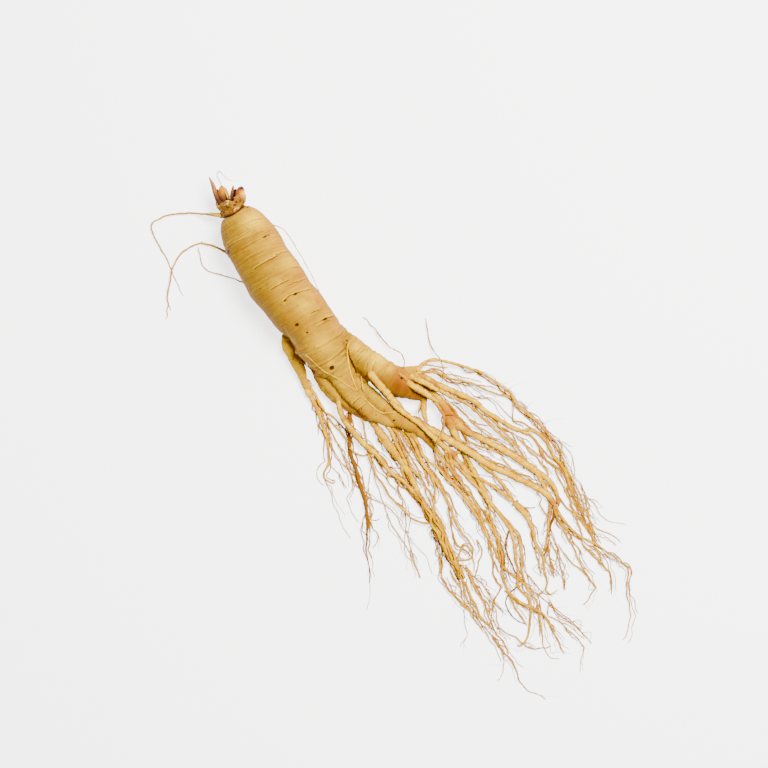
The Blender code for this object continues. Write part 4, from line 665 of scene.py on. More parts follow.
def world(p):
    """Sheet points (n, 3) to metres in the frame."""
    p = np.asarray(p, float)
    c, s = math.cos(TURN), math.sin(TURN)
    x, y, z = p[..., 0], p[..., 1], p[..., 2]
    return np.stack(((x * c + y * s) * SHEET, (x * s - y * c) * SHEET, z * SHEET), -1) + SHIFT


def sheet(p):
    """The way back: metres in the frame to sheet units."""
    q = (np.asarray(p, float) - SHIFT) / SHEET
    c, s = math.cos(TURN), math.sin(TURN)
    return np.stack((q[..., 0] * c + q[..., 1] * s, q[..., 0] * s - q[..., 1] * c, q[..., 2]), -1)


def curve(drawn, table, step):
    """A smooth line through the drawn stations: (n, 4) of x, y, z and radius, and its lengths."""
    pts = np.array(drawn, float)
    pts = np.vstack((2 * pts[0] - pts[1], pts, 2 * pts[-1] - pts[-2]))
    out = []
    for i in range(1, len(pts) - 2):
        p0, p1, p2, p3 = pts[i - 1:i + 3]
        n = max(1, int(round(np.hypot(*(p2 - p1)[:2]) / step)))
        for k in range(n):
            t = k / n
            out.append(0.5 * (2 * p1 + (p2 - p0) * t + (2 * p0 - 5 * p1 + 4 * p2 - p3) * t * t
                              + (3 * p1 - p0 - 3 * p2 + p3) * t ** 3))
    out.append(pts[-2])
    out = np.array(out)
    out[:, 2] = np.maximum(out[:, 2], 0.12) * (1.04 + 0.18 * np.exp(-(out[:, 2] / 1.3) ** 2))
    run = np.concatenate(([0], np.cumsum(np.hypot(*np.diff(out[:, :2], axis=0).T))))
    z = np.array([height_at(table, min(1.0, v / run[-1])) for v in run])
    z = np.maximum(z, out[:, 2] * 0.95)
    return np.column_stack((out[:, 0], out[:, 1], z, out[:, 2])), run


def frames(centres):
    """Unit tangent, side and top along a line, carried without twist."""
    t = np.gradient(centres, axis=0)
    t /= np.maximum(np.linalg.norm(t, axis=1, keepdims=True), 1e-9)
    side = np.cross(t[0], (0, 0, 1.0))
    if np.linalg.norm(side) < 1e-6:
        side = np.array((1.0, 0, 0))
    sides, tops = [], []
    for v in t:
        side = side - v * side.dot(v)
        side /= np.linalg.norm(side)
        sides.append(side.copy())
        tops.append(np.cross(side, v))
    return t, np.array(sides), np.array(tops)


class Skin:
    """Gathers lofted pieces into one mesh with their along, around, radius and tone values."""

    def __init__(self):
        self.v, self.f, self.a, self.n = [], [], [], 0

    def loft(self, rings, along, angle, radius, tone):
        n, k = rings.shape[:2]
        self.v.append(rings.reshape(-1, 3))
        i = np.arange(n - 1)[:, None] * k
        j = np.arange(k)[None, :]
        j2 = (j + 1) % k
        quads = np.stack((i + j, i + j2, i + k + j2, i + k + j), -1).reshape(-1, 4) + self.n
        self.f.extend(quads.tolist())
        self.f.append(list(range(self.n + k - 1, self.n - 1, -1)))
        self.f.append(list(range(self.n + (n - 1) * k, self.n + n * k)))
        self.a.append(np.column_stack((np.repeat(along, k), np.tile(angle, n), np.repeat(radius, k),
                                       np.full(n * k, tone))))
        self.n += n * k

    def build(self, name):
        verts = np.vstack(self.v)
        mesh = bpy.data.meshes.new(name)
        mesh.from_pydata(world(verts).tolist(), [], self.f)
        obj = bpy.data.objects.new(name, mesh)
        bpy.context.scene.collection.objects.link(obj)
        a = np.vstack(self.a)
        for i, key in enumerate(("along", "around", "radius", "tone")):
            write(mesh, key, a[:, i])
        finish_normals(mesh)
        return obj


def write(mesh, key, values):
    layer = mesh.attributes.new(key, "FLOAT", "POINT")
    layer.data.foreach_set("value", np.ascontiguousarray(values, dtype=np.float32))


def finish_normals(mesh):
    bm = bmesh.new()
    bm.from_mesh(mesh)
    bmesh.ops.recalc_face_normals(bm, faces=bm.faces)
    bm.to_mesh(mesh)
    bm.free()
    mesh.polygons.foreach_set("use_smooth", np.ones(len(mesh.polygons), bool))
    mesh.update()


def waves(x, seed, lengths, sizes):
    """A smooth wandering value: a few sines whose phases come from the seed."""
    r = random.Random(seed)
    out = np.zeros_like(x)
    for length, size in zip(lengths, sizes):
        out += size * np.sin(x * (2 * math.pi / length) * r.uniform(0.85, 1.15) + r.uniform(0, 6.28))
    return out


LOWEST, HIGHEST = np.array(CAD_BOX[0]), np.array(CAD_BOX[1])
ROOM = (HIGHEST - LOWEST) * 0.03 + 0.0082
LOWEST, HIGHEST = LOWEST - ROOM, HIGHEST + ROOM


def tube(skin, line, run, seed, sides, flare=0.35, taper=True, lumps=0.06, bend=0.0, calm=False, pale=False, dark=False):
    """One knobbly rootlet along a line of x, y, z and radius."""
    at_world = world(line[:, :3])
    past = ((at_world < LOWEST) | (at_world > HIGHEST))[:, :2].any(axis=1)
    if past.any():
        stop = int(np.argmax(past))
        if stop < 5:
            return line[:stop, :3]
        line, run = line[:stop], run[:stop]
    c, r = line[:, :3].copy(), line[:, 3].copy()
    t, side, top = frames(c)
    if bend:
        amount = bend * np.minimum(1, run / 6.0)
        c += side * (waves(run, seed + 1, (9, 17, 31), (0.4, 0.7, 0.9)) * amount)[:, None]
        c[:, 2] += np.abs(waves(run, seed + 2, (13, 29), (0.5, 0.8)) * amount) * 0.8
        t, side, top = frames(c)
    base = r[0]
    r = r * (1 + waves(run, seed, (2.7, 5.3, 11, 23), (lumps * 0.5, lumps * 0.7, lumps, lumps * 0.8)))
    r *= 1 + flare * np.exp(-run / (1.6 * base + 0.6))
    rnd = random.Random(seed + 5)
    if base > 0.8:  # small growth rings and knuckles
        at = 4.0
        while at < run[-1] - 3:
            r *= 1 + rnd.uniform(-0.14, 0.16) * np.exp(-((run - at) / rnd.uniform(0.7, 1.5)) ** 2)
            at += rnd.uniform(2.5, 9.0)
    if taper:
        r *= np.clip((run[-1] - run) / (2.2 * r[-1] + 0.5), 0.12, 1) ** 0.6
    c[:, 2] = np.maximum(c[:, 2], r * 0.92)
    ang = 2 * np.pi * np.arange(sides) / sides
    oval = 1 + 0.07 * np.cos(2 * ang + rnd.uniform(0, 6.28))
    rings = (c[:, None] + side[:, None] * (np.cos(ang) * oval)[None, :, None] * r[:, None, None]
             + top[:, None] * (np.sin(ang) * oval)[None, :, None] * r[:, None, None])
    tone = rnd.random()
    shade = np.maximum(r, 3.2) if pale else r
    if dark:
        skin.loft(rings, run, ang, shade, 1.6)
        return c
    skin.loft(rings, run + rnd.uniform(0, 90), ang, shade, 0.2 + 0.42 * tone if calm or pale else tone)
    return c


# ------------------------------------------------------------------ crown, body and legs, blended
raw = Skin()
body_run = np.concatenate(([0], np.cumsum([math.dist(a[:2], b[:2]) for a, b in zip(BODY, BODY[1:])])))
s = np.arange(0, body_run[-1], 1.0)
bx, by, br = (np.interp(s, body_run, [b[i] for b in BODY]) for i in range(3))
bz = np.where(s < 150, np.maximum(br - 1.7, 23.4 - 0.6 * np.maximum(0, 1 - s / 20)), np.maximum(br - 0.6, 19.0))
bz = np.minimum(bz, 27.4)
lean = np.array((*AXIS, 0.0))
lean /= np.linalg.norm(lean)
across = np.array((lean[1], -lean[0], 0.0))
ang = 2 * np.pi * np.arange(72) / 72
rings = (np.stack((bx, by, bz), -1)[:, None] + across * (np.cos(ang)[None, :, None] * br[:, None, None])
         + np.array((0, 0, 1.0)) * (np.sin(ang)[None, :, None] * br[:, None, None]))
raw.loft(rings, s, ang, br, 0.5)

cup = np.array([(x, y, CROWN_HEIGHT) for x, y, _ in CROWN])
cup_r = np.array([c[2] for c in CROWN])
up_crown = cup[7] - cup[0]
up_crown /= np.linalg.norm(up_crown)
side_crown = np.array((-up_crown[1], up_crown[0], 0.0))
wave = 1 + 0.035 * np.cos(3 * ang + 0.6) + 0.02 * np.cos(5 * ang) + 0.012 * np.cos(9 * ang + 1)
lip = 0.8 * np.cos(2 * ang + 2.2) + 0.7 * np.cos(3 * ang) + 0.5 * np.cos(7 * ang) + 0.4 * np.cos(11 * ang + 1.3)
opened = np.array((0, 0, 0.04, 0.16, 0.48, 0.80, 0.97, 1.0, 1.0, 0.92, 0.8))
top_lean = np.clip(np.sin(ang - 0.30), 0, 1) ** 1.15 * 8.8
near_lip = np.exp(-((np.arange(len(CROWN)) - 7) / 1.6) ** 2)
rings = (cup[:, None] + side_crown * (np.cos(ang) * wave)[None, :, None] * cup_r[:, None, None]
         + np.array((0, 0, 0.93)) * (np.sin(ang) * wave)[None, :, None] * cup_r[:, None, None]
         + up_crown * (near_lip[:, None, None] * lip[None, :, None] - opened[:, None, None] * top_lean[None, :, None]))
raw.loft(rings, np.zeros(len(CROWN)), ang, cup_r, 0.5)

lines = {}
for name, table, drawn in LEGS:
    line, run = curve(drawn, heights(table), 1.5)
    lines[name] = line
    tube(raw, line, run, len(lines), 40, flare=0.0, taper=False, lumps=0.02)
for i, (name, table, drawn) in enumerate(ROOTLETS):
    if name not in BLENDED:
        continue
    line, run = curve(drawn, heights(table), 1.0)
    keep = run <= BLENDED[name]
    line, run = line[keep], run[keep]
    lines[name] = line.copy()
    line[:, 3] *= 1.0 - 0.12 * (run / run[-1]) ** 2
    lift = frames(line[:, :3])[0][0]
    line = np.vstack((np.append(line[0, :3] - lift * line[0, 3] * 1.2, line[0, 3]), line))
    tube(raw, line, np.append(0, run + line[0, 3]), 900 + i, 20, flare=0.4, taper=False, lumps=0.0)

VOXEL = 0.00039
blend = raw.build("blend_source")
mod = blend.modifiers.new("fuse", "REMESH")
mod.mode = "VOXEL"
mod.voxel_size = VOXEL
deps = bpy.context.evaluated_depsgraph_get()
fused = bpy.data.meshes.new_from_object(blend.evaluated_get(deps))
bpy.data.objects.remove(blend, do_unlink=True)

co = np.empty(len(fused.vertices) * 3)
fused.vertices.foreach_get("co", co)
co = sheet(co.reshape(-1, 3))
edges = np.empty(len(fused.edges) * 2, np.int64)
fused.edges.foreach_get("vertices", edges)
edges = edges.reshape(-1, 2)


def averaged(values):
    total = np.zeros_like(values)
    count = np.zeros(len(values))
    for a, b in ((0, 1), (1, 0)):
        for k in range(values.shape[1]):
            total[:, k] += np.bincount(edges[:, a], values[edges[:, b], k], len(values))
        count += np.bincount(edges[:, a], minlength=len(values))
    return total / np.maximum(count, 1)[:, None]


for _ in range(7 if VOXEL < 0.0006 else 3):  # soften the crotches without shrinking the limbs
    co = co + 0.62 * (averaged(co) - co)
    co = co - 0.55 * (averaged(co) - co)
for _ in range(3):
    co = co + 0.5 * (averaged(co) - co)

# which limb each point belongs to: along it, around it and its radius
limbs = [("body", np.column_stack((bx, by, bz, br)))] + list(lines.items())
best = np.full(len(co), 1e9)
along, around, radius, limb = (np.zeros(len(co)) for _ in range(4))
for index, (name, line) in enumerate(limbs):
    line = line[::2] if len(line) > 6 else line
    t, side, top = frames(line[:, :3])
    lengths = np.concatenate(([0], np.cumsum(np.linalg.norm(np.diff(line[:, :3], axis=0), axis=1))))
    for i in range(0, len(co), 20000):
        p = co[i:i + 20000]
        d = p[:, None] - line[None, :, :3]
        dist = np.linalg.norm(d, axis=2) / line[None, :, 3]
        k = dist.argmin(1)
        m = np.arange(len(p))
        better = dist[m, k] < best[i:i + 20000]
        idx = i + m[better]
        kb = k[better]
        db = d[m[better], kb]
        best[idx] = dist[m[better], kb]
        along[idx] = lengths[kb] + (db * t[kb]).sum(1)
        around[idx] = np.arctan2((db * top[kb]).sum(1), (db * side[kb]).sum(1))
        radius[idx] = line[kb, 3]
        limb[idx] = index

normals = np.empty(len(co) * 3)
mesh_co = world(co)
fused.vertices.foreach_set("co", mesh_co.ravel())
fused.update()
fused.vertices.foreach_get("normal", normals)
normals = normals.reshape(-1, 3)
n_sheet = sheet(normals * SHEET + SHIFT)

# relief: growth rings, creases, lumps and pits
on_body = ((co[:, 0] - ORIGIN[0]) * AXIS[0] + (co[:, 1] - ORIGIN[1]) * AXIS[1])
off_axis = ((co[:, 0] - ORIGIN[0]) * AXIS[1] - (co[:, 1] - ORIGIN[1]) * AXIS[0])
along = np.where(limb == 0, along - 0.085 * off_axis, along)
relief = np.zeros(len(co))
groove = np.zeros(len(co))
body_mask = np.where(limb == 0, 1.0, 0.0) * np.clip((on_body - 6) / 8, 0, 1)
r = random.Random(SEED + 1)
ring = 9.0
while ring < 156:
    middle, reach = r.uniform(-3.1, 3.1), r.uniform(0.5, 1.9)
    depth, half = r.uniform(0.04, 0.17) * (1.35 if ring < 60 else 0.8), r.uniform(0.42, 0.8)
    drift = r.uniform(-0.7, 0.7)
    away = np.abs((around - middle + np.pi) % (2 * np.pi) - np.pi)
    at = ring + drift * np.sin(around + middle) + 0.5 * np.sin(around * 3 + ring)
    cut = np.exp(-((along - at) / half) ** 2) * np.clip((reach - away) / 0.5, 0, 1) * body_mask
    relief -= depth * cut
    groove = np.maximum(groove, cut * depth * 1.8)
    ring += r.uniform(0.5, 1.5) if ring < 70 else r.uniform(0.9, 2.6)
for index, (name, line) in enumerate(limbs[1:], 1):
    mask = limb == index
    if not mask.any():
        continue
    length = float(along[mask].max())
    at = 2.0
    while at < length:
        size = float(np.interp(at, np.linspace(0, length, len(line)), line[:, 3]))
        middle, reach = r.uniform(-3.1, 3.1), r.uniform(0.8, 3.2)
        half = r.uniform(0.5, 1.0)
        away = np.abs((around[mask] - middle + np.pi) % (2 * np.pi) - np.pi)
        cut = np.exp(-((along[mask] - at - 0.06 * size * np.sin(around[mask] * 2 + at)) / half) ** 2)
        cut *= np.clip((reach - away) / 0.5, 0, 1)
        depth = (r.uniform(0.004, 0.018) * size + 0.02) * (1.0 if index > 3 else 0.7)
        relief[mask] -= depth * cut
        groove[mask] = np.maximum(groove[mask], cut * min(0.9, depth * 2.0))
        at += r.uniform(1.4, 5.0)
top_side = np.clip(n_sheet[:, 2] * 2 + 0.6, 0, 1)
crease_d, crease_k = np.full(len(co), 9.0), np.zeros(len(co))
for x1, y1, x2, y2, depth, half, dark in CREASES:
    d = np.array((x2 - x1, y2 - y1))
    length = np.hypot(*d)
    d = d / length
    px, py = co[:, 0] - x1, co[:, 1] - y1
    u = px * d[0] + py * d[1]
    w = px * -d[1] + py * d[0] + 0.35 * np.sin(u / length * np.pi) + 0.18 * np.sin(u * 0.9 + x1)
    near = np.clip(u / 2.5 + 0.3, 0, 1) * np.clip((length - u) / 2.5 + 0.3, 0, 1) * top_side
    relief -= depth * np.exp(-(w / (half + 0.45)) ** 2) * near
    relief += 0.4 * depth * np.exp(-((w + 1.9) / 1.1) ** 2) * near
    strength = dark * near * np.clip(1.7 - np.abs(w) / 2.0, 0, 1)
    mine = strength > crease_k
    crease_d = np.where(mine, w / half, crease_d)
    crease_k = np.where(mine, strength, crease_k)
scar = np.zeros(len(co))
waist_d = on_body - (1.8 - 0.0174 * off_axis ** 2)
in_neck = (np.abs(off_axis) < 15) * (limb == 0)
relief -= 2.8 * np.exp(-(waist_d / 1.1) ** 2) * in_neck
relief += 1.1 * np.exp(-((waist_d + 2.4) / 1.4) ** 2) * in_neck
# painted shade: a dark line along the neck crease, under the edge of the knob; it also joins the crease lines
scar = np.maximum(scar, 0.9 * np.exp(-(waist_d / 1.25) ** 2) * in_neck * np.clip((13.5 - np.abs(off_axis)) / 3, 0, 1))
neck_k = np.clip(1.6 - np.abs(waist_d) / 2.2, 0, 1) * in_neck
crease_d = np.where(neck_k > crease_k, waist_d / 0.95, crease_d)
crease_k = np.maximum(crease_k, neck_k)
for x, y, long_half, half, depth, dark in SCARS:
    px, py = co[:, 0] - x, co[:, 1] - y
    u = (px * AXIS[1] - py * AXIS[0]) / long_half
    w = (px * AXIS[0] + py * AXIS[1]) / half
    spot = np.exp(-(u * u + w * w)) * top_side
    relief -= depth * spot
    scar = np.maximum(scar, spot * dark)
blush = np.zeros(len(co))
for x, y, size, strength in BLUSHES:
    blush = np.maximum(blush, strength * np.exp(-(((co[:, 0] - x) ** 2 + (co[:, 1] - y) ** 2) / size ** 2)) * top_side)
brown = np.zeros(len(co))
for x, y, size, strength in BROWNS_AND_SHADE:
    brown = np.maximum(brown, strength * np.exp(-(((co[:, 0] - x) ** 2 + (co[:, 1] - y) ** 2) / size ** 2)))
painted_highlight = np.zeros(len(co))
for x, y, size, strength in PAINTED_HIGHLIGHTS:
    painted_highlight = np.maximum(painted_highlight, strength * np.exp(-(((co[:, 0] - x) ** 2 + (co[:, 1] - y) ** 2) / size ** 2)) * top_side)
for x, y, size, height in SWELLS:
    relief += height * np.exp(-(((co[:, 0] - x) ** 2 + (co[:, 1] - y) ** 2) / size ** 2)) * top_side * np.clip(radius / 9, 1, 3)
# the crown's hollow, which the skin material darkens as painted shade
rim_at = cup[7]
from_rim = co - rim_at
out_of = from_rim @ up_crown
spoke = from_rim - out_of[:, None] * up_crown
reach_of = np.linalg.norm(spoke, axis=1)
inward = (n_sheet * spoke).sum(1) / np.maximum(reach_of, 1e-6)
hollow = np.where((reach_of < 13.4) & (out_of > -15) & ((inward < 0.1) | (reach_of < 10.0)), 1.0, 0.0)
hollow = averaged(hollow[:, None])[:, 0]
lump = np.array([noise.noise(Vector(p) * 0.055) * 0.9 + noise.noise(Vector(p) * 0.16 + Vector((7, 1, 3))) * 0.45
                 for p in co])
relief += lump * np.clip(radius / 26.0, 0.08, 1)
relief *= np.clip(radius / 3.0, 0.2, 1)
co = co + n_sheet * relief[:, None]
co[:, 2] = np.maximum(co[:, 2], 0.05)
fused.vertices.foreach_set("co", world(co).ravel())
neck = np.clip((4.0 - on_body) / 2.5, 0, 1) * np.clip((on_body + 16.0) / 7.0, 0.15, 1) * np.clip(1 - np.abs(off_axis) / 60, 0, 1) * (limb == 0)
# painted light: whole legs made lighter where they lie in the body's shade
painted_highlight = np.maximum(painted_highlight, np.choose(np.minimum(limb, 5).astype(int), (0, 0.14, 0, 0.26, 0.42, 0.26)))
for key, values in (("along", along), ("around", around), ("radius", radius), ("tone", limb * 0.113 + 0.31),
                    ("groove", groove), ("scar", scar), ("blush", blush), ("neck", neck), ("brown", brown), ("pale", painted_highlight),
                    ("hollow", hollow), ("crease_d", crease_d), ("crease_k", crease_k), ("flank", np.where(limb == 0, off_axis / 27.0, 0.0))):
    write(fused, key, values)
fused.polygons.foreach_set("use_smooth", np.ones(len(fused.polygons), bool))
fused.materials.clear()
fused.name = "root_body"
root_body = bpy.data.objects.new("root_body", fused)
bpy.context.scene.collection.objects.link(root_body)
surface = BVHTree.FromPolygons([Vector(v) for v in co], [list(p.vertices) for p in fused.polygons])

# ------------------------------------------------------------------ rootlets
thick, fine, beside = Skin(), Skin(), Skin()
parents = []
plans = [None if t == "D" else curve(d, heights(t), 1.4)[0] for _, t, d in ROOTLETS]


def carried_back(line):
    """A start that lies just clear of the body or a leg, carried back until it is under it."""
    way = line[0, :2] - line[min(4, len(line) - 1), :2]
    way /= max(1e-6, float(np.hypot(*way)))
    for far in range(1, 15):
        p = line[0, :2] + way * far
        if surface.ray_cast(Vector((p[0], p[1], 90)), Vector((0, 0, -1)))[0]:
            extra = [(*(line[0, :2] + way * k), line[0, 2], line[0, 3] * (0.9 + 0.1 * (1 - k / (far + 4))))
                     for k in range(far + 3, 0, -1)]
            line = np.vstack((extra, line))
            return line, np.concatenate(([0], np.cumsum(np.hypot(*np.diff(line[:, :2], axis=0).T)))), True
    return line, None, False


def grows_from(i, p):
    """Height of the rootlet that this one starts on, -1 on the body or a leg, None on nothing."""
    best = None
    # on the body or a leg, seen from above
    if surface.ray_cast(Vector((p[0], p[1], 90)), Vector((0, 0, -1)))[0]:
        best = -1.0
    for j, other in enumerate(plans):
        if j == i or other is None:
            continue
        away = np.hypot(other[:, 0] - p[0], other[:, 1] - p[1]) - other[:, 3]
        k = int(np.argmin(away))
        if away[k] < 0.6 and k > 1 and other[k, 3] > 0.7 * p[3]:
            best = max(-1.0 if best is None else best, other[k, 2])
    return best


for i, (name, table, drawn) in enumerate(ROOTLETS):
    if table == "D":  # a fine root that clings to the surface below it
        line, run = curve(drawn, heights("0,9 1,9"), 1.2)
        for row in line:
            hit = surface.ray_cast(Vector((row[0], row[1], 90)), Vector((0, 0, -1)))
            row[2] = hit[0].z + row[3] * 0.55 if hit[0] else row[3]
        z = np.convolve(np.pad(line[:, 2], 2, "edge"), np.ones(5) / 5, "valid")
        line[:, 2] = np.maximum(line[:, 2] - 0.2, z)
        tube(fine, line, run, 100 + i, 8, flare=0.2, lumps=0.08, pale=True)
        continue
    widest = max(p[2] for p in drawn)
    line, run = curve(drawn, heights(table), 1.1 if widest > 1 else 1.4)
    start = BLENDED.get(name, 0)
    if start:
        keep = run >= max(0.0, start - (12.0 if line[0, 0] < 345 and line[0, 1] > 370 else 4.0) - widest)
        line, run = line[keep], run[keep] - run[keep][0]
    if name == "back_long":
        low = np.clip((line[:, 1] - 488) / 14, 0, 1)
        line[:, 3] *= 1 - 0.5 * low
        line[:, 2] = np.maximum(line[:, 2] - low * line[:, 3] * 0.5, line[:, 3])
    flare = 0.0 if start else 0.4
    if not start:
        source = grows_from(i, line[0])
        if source is None:
            longer_line, longer_run, found = carried_back(line)
            if found:
                line, run, flare = longer_line, longer_run, 0.0
            else:
                flare = -0.8
        elif source < 0:
            top_there = surface.ray_cast(Vector((line[0, 0], line[0, 1], 90)), Vector((0, 0, -1)))[0].z
            if line[0, 2] < top_there - 0.5 and widest > 1.2:  # it comes from under the leg
                way = line[0, :2] - line[min(4, len(line) - 1), :2]
                way /= max(1e-6, float(np.hypot(*way)))
                extra = [(*(line[0, :2] + way * k), line[0, 2], line[0, 3] * (1 - 0.05 * k)) for k in range(7, 0, -1)]
                line = np.vstack((extra, line))
                run = np.concatenate(([0], np.cumsum(np.hypot(*np.diff(line[:, :2], axis=0).T))))
                flare = 0.0
        elif source > 0:
            line[:, 2] = np.maximum(line[:, 2] + (source - line[0, 2]) * np.exp(-run / 9.0), line[:, 3] * 0.95)
    sides = 18 if widest > 3.6 else 14 if widest > 2 else 10 if widest > 1 else 7
    skin = thick if widest > 0.95 else fine
    c = tube(skin, line, run, 100 + i, sides, flare=flare,
             lumps=0.07 if widest > 1 else 0.10, bend=0.25 if widest < 2 else 0.12, calm=widest > 1.5,
             dark=name in ("fine_043", "more_g", "more_s"))
    if len(c) > 6:
        if not name.startswith(("side", "wisp", "crown")):
            parents.append((c, line[:, 3], run))

# strands that wind along the thick rope of rootlets
rope = dict((n, (t, d)) for n, t, d in ROOTLETS)["back_long"]
line, run = curve(rope[1], heights(rope[0]), 1.2)
first = int(np.argmin(np.hypot(line[:, 0] - 417, line[:, 1] - 496)))
last = int(np.argmin(np.hypot(line[:, 0] - 463, line[:, 1] - 582)))
part = line[first:last]
run = run[first:last] - run[first]
_, side, top = frames(part[:, :3])
for k in range(8):
    turn = k * 2 * np.pi / 8 + 0.03 * run + waves(run, 60 + k, (19, 41), (0.35, 0.6))
    thin = part[:, 3] * (0.30 + 0.08 * math.sin(k * 2.3))
    out = part.copy()
    out[:, :3] += (side * np.cos(turn)[:, None] + top * np.sin(turn)[:, None]) * (part[:, 3] * 0.80)[:, None]
    out[:, 3] = thin
    out[:, 2] = np.maximum(out[:, 2], thin)
    tube(thick, out, run, 700 + k, 10, flare=0.0, lumps=0.08)

# finer roots that run beside the larger ones
r = random.Random(SEED + 7)
longer = [p for p in parents if p[2][-1] > 28]
spans = [p[2][-1] for p in longer]
for k in range(240):
    c, rad, run = r.choices(longer, spans)[0]
    a = int(len(c) * r.uniform(0.0, 0.6))
    b = min(len(c) - 1, a + int(len(c) * r.uniform(0.25, 0.65)))
    if b - a < 9:
        continue
    part, where = c[a:b], run[a:b] - run[a]
    _, side, _ = frames(part * (1, 1, 0))
    sign = r.choice((-1, 1))
    size = r.uniform(0.38, 0.95) * min(1.3, 0.6 + 0.25 * rad[a])
    apart = (rad[a:b] * r.uniform(0.5, 1.0) + 0.3) + np.abs(waves(where, 800 + k, (23, 47), (0.7, r.uniform(0.8, 2.6))))
    apart = apart * np.minimum(1, where / 6.0) + (where / where[-1]) ** 2 * r.uniform(0.0, 6.0)
    pts = part + side * (sign * apart)[:, None]
    pts[:, 2] = np.maximum(size, part[:, 2] * (1 - 0.6 * np.minimum(1, where / 14.0)))
    line = np.column_stack((pts, size * (1 - 0.6 * where / where[-1])))
    tube(beside, line, where, 2000 + k, 6, flare=0.3, lumps=0.12, bend=0.3)

# and a tangle of thin ones near the tips
r = random.Random(SEED + 11)
low = [p for p in parents if p[2][-1] > 20 and p[0][:, 1].mean() > 515 and p[0][:, 0].mean() > 420]
for k in range(110):
    c, rad, run = r.choice(low)
    a = int(len(c) * r.uniform(0.05, 0.7))
    b = min(len(c) - 1, a + int(r.uniform(12, 34)))
    if b - a < 9:
        continue
    part, where = c[a:b], run[a:b] - run[a]
    _, side, _ = frames(part * (1, 1, 0))
    sign = r.choice((-1, 1))
    size = r.uniform(0.30, 0.55)
    apart = np.abs(waves(where, 5000 + k, (11, 23, 41), (1.2, 2.0, r.uniform(1.0, 4.0)))) * np.minimum(1, where / 7.0)
    pts = part + side * (sign * apart)[:, None]
    pts[:, 2] = np.maximum(size, part[:, 2] + 0.4 * rad[a] - where * 0.04)
    tube(beside, np.column_stack((pts, size * (1 - 0.5 * where / where[-1]))), where, 5200 + k, 6,
         flare=0.2, lumps=0.14, bend=0.35)

# the finest hairs, from most of the rootlets
r = random.Random(SEED + 2)
hairs = 620
weights = [run[-1] * (0.5 + min(2.0, rad.mean()) / 2) for _, rad, run in parents]
for k in range(hairs):
    c, rad, run = r.choices(parents, weights)[0]
    i = r.randrange(3, len(c) - 2)
    size = min(0.30, 0.10 + 0.10 * rad[i]) * r.uniform(0.6, 1.1)
    length = r.choice((3, 5, 7, 10, 15, 22)) * r.uniform(0.7, 1.3)
    d = c[min(len(c) - 1, i + 2)] - c[i - 2]
    heading = math.atan2(d[1], d[0]) + r.choice((-1, 1)) * r.uniform(0.25, 1.1)
    n = max(4, int(length / 1.6))
    p = c[i].copy()
    pts = [p.copy()]
    curl = r.uniform(-0.09, 0.09)
    for _ in range(n):
        heading += curl + r.uniform(-0.22, 0.22)
        p = p + np.array((math.cos(heading), math.sin(heading), 0)) * (length / n)
        p[2] = max(size, p[2] * 0.86 + 0.04)
        pts.append(p.copy())
    pts = np.array(pts)
    span = np.arange(len(pts)) / (len(pts) - 1.0)
    line = np.column_stack((pts, size * (1 - 0.75 * span)))
    tube(beside, line, span * length, 3000 + k, 5, flare=0.3, lumps=0.1)

rootlets_thick = thick.build("rootlets_thick")
rootlets_fine = fine.build("rootlets_fine")
rootlets_hair = beside.build("rootlets_hair")

# ------------------------------------------------------------------ dried pieces on the crown
rim = cup[7]


def crown_point(across_, out, lift=0.0):
    return rim + side_crown * across_ + up_crown * out + np.array((0, 0, lift))


def husk(name, profile, thickness, seed, sides=26, curl=0.55):
    """A dry scale: a papery shell curled round a line, open on its inner side.
    profile rows: across, out, lift, half width, half depth."""
    rows = np.array(profile, float)
    span = np.linspace(0, len(rows) - 1, 22)
    rows = np.column_stack([np.interp(span, np.arange(len(rows)), rows[:, i]) for i in range(5)])
    rnd = random.Random(seed)
    ph = [rnd.uniform(0, 6.28) for _ in range(6)]
    a = np.linspace(-math.pi * curl, math.pi * curl, sides)
    bm_ = bmesh.new()
    grid = []
    for i, (acr, out, lift, wide, deep) in enumerate(rows):
        u = i / (len(rows) - 1)
        ragged = 0.0 if u < 0.8 else (u - 0.8) * 1.2
        ring = []
        for k, t in enumerate(a):
            rib = 1 + 0.05 * math.sin(7 * t + ph[0]) + 0.04 * math.sin(13 * t + ph[1] + u * 3)
            p = crown_point(acr + math.sin(t) * wide * rib,
                            out + ragged * math.sin(5 * t + ph[2]),
                            lift + (math.cos(t) - 0.35) * deep * rib)
            ring.append(bm_.verts.new(world(p)))
        grid.append(ring)
    for r0, r1 in zip(grid, grid[1:]):
        for k in range(len(a) - 1):
            bm_.faces.new((r0[k], r0[k + 1], r1[k + 1], r1[k]))
    bmesh.ops.recalc_face_normals(bm_, faces=bm_.faces)
    mesh = bpy.data.meshes.new(name)
    bm_.to_mesh(mesh)
    bm_.free()
    uu = np.repeat(np.linspace(0, 1, len(rows)), len(a))
    write(mesh, "along", uu * 12)
    write(mesh, "around", np.tile(a, len(rows)))
    mesh.polygons.foreach_set("use_smooth", np.ones(len(mesh.polygons), bool))
    obj = bpy.data.objects.new(name, mesh)
    bpy.context.scene.collection.objects.link(obj)
    solid = obj.modifiers.new("thickness", "SOLIDIFY")
    solid.thickness = thickness * SHEET
    solid.offset = 0.0
    return obj


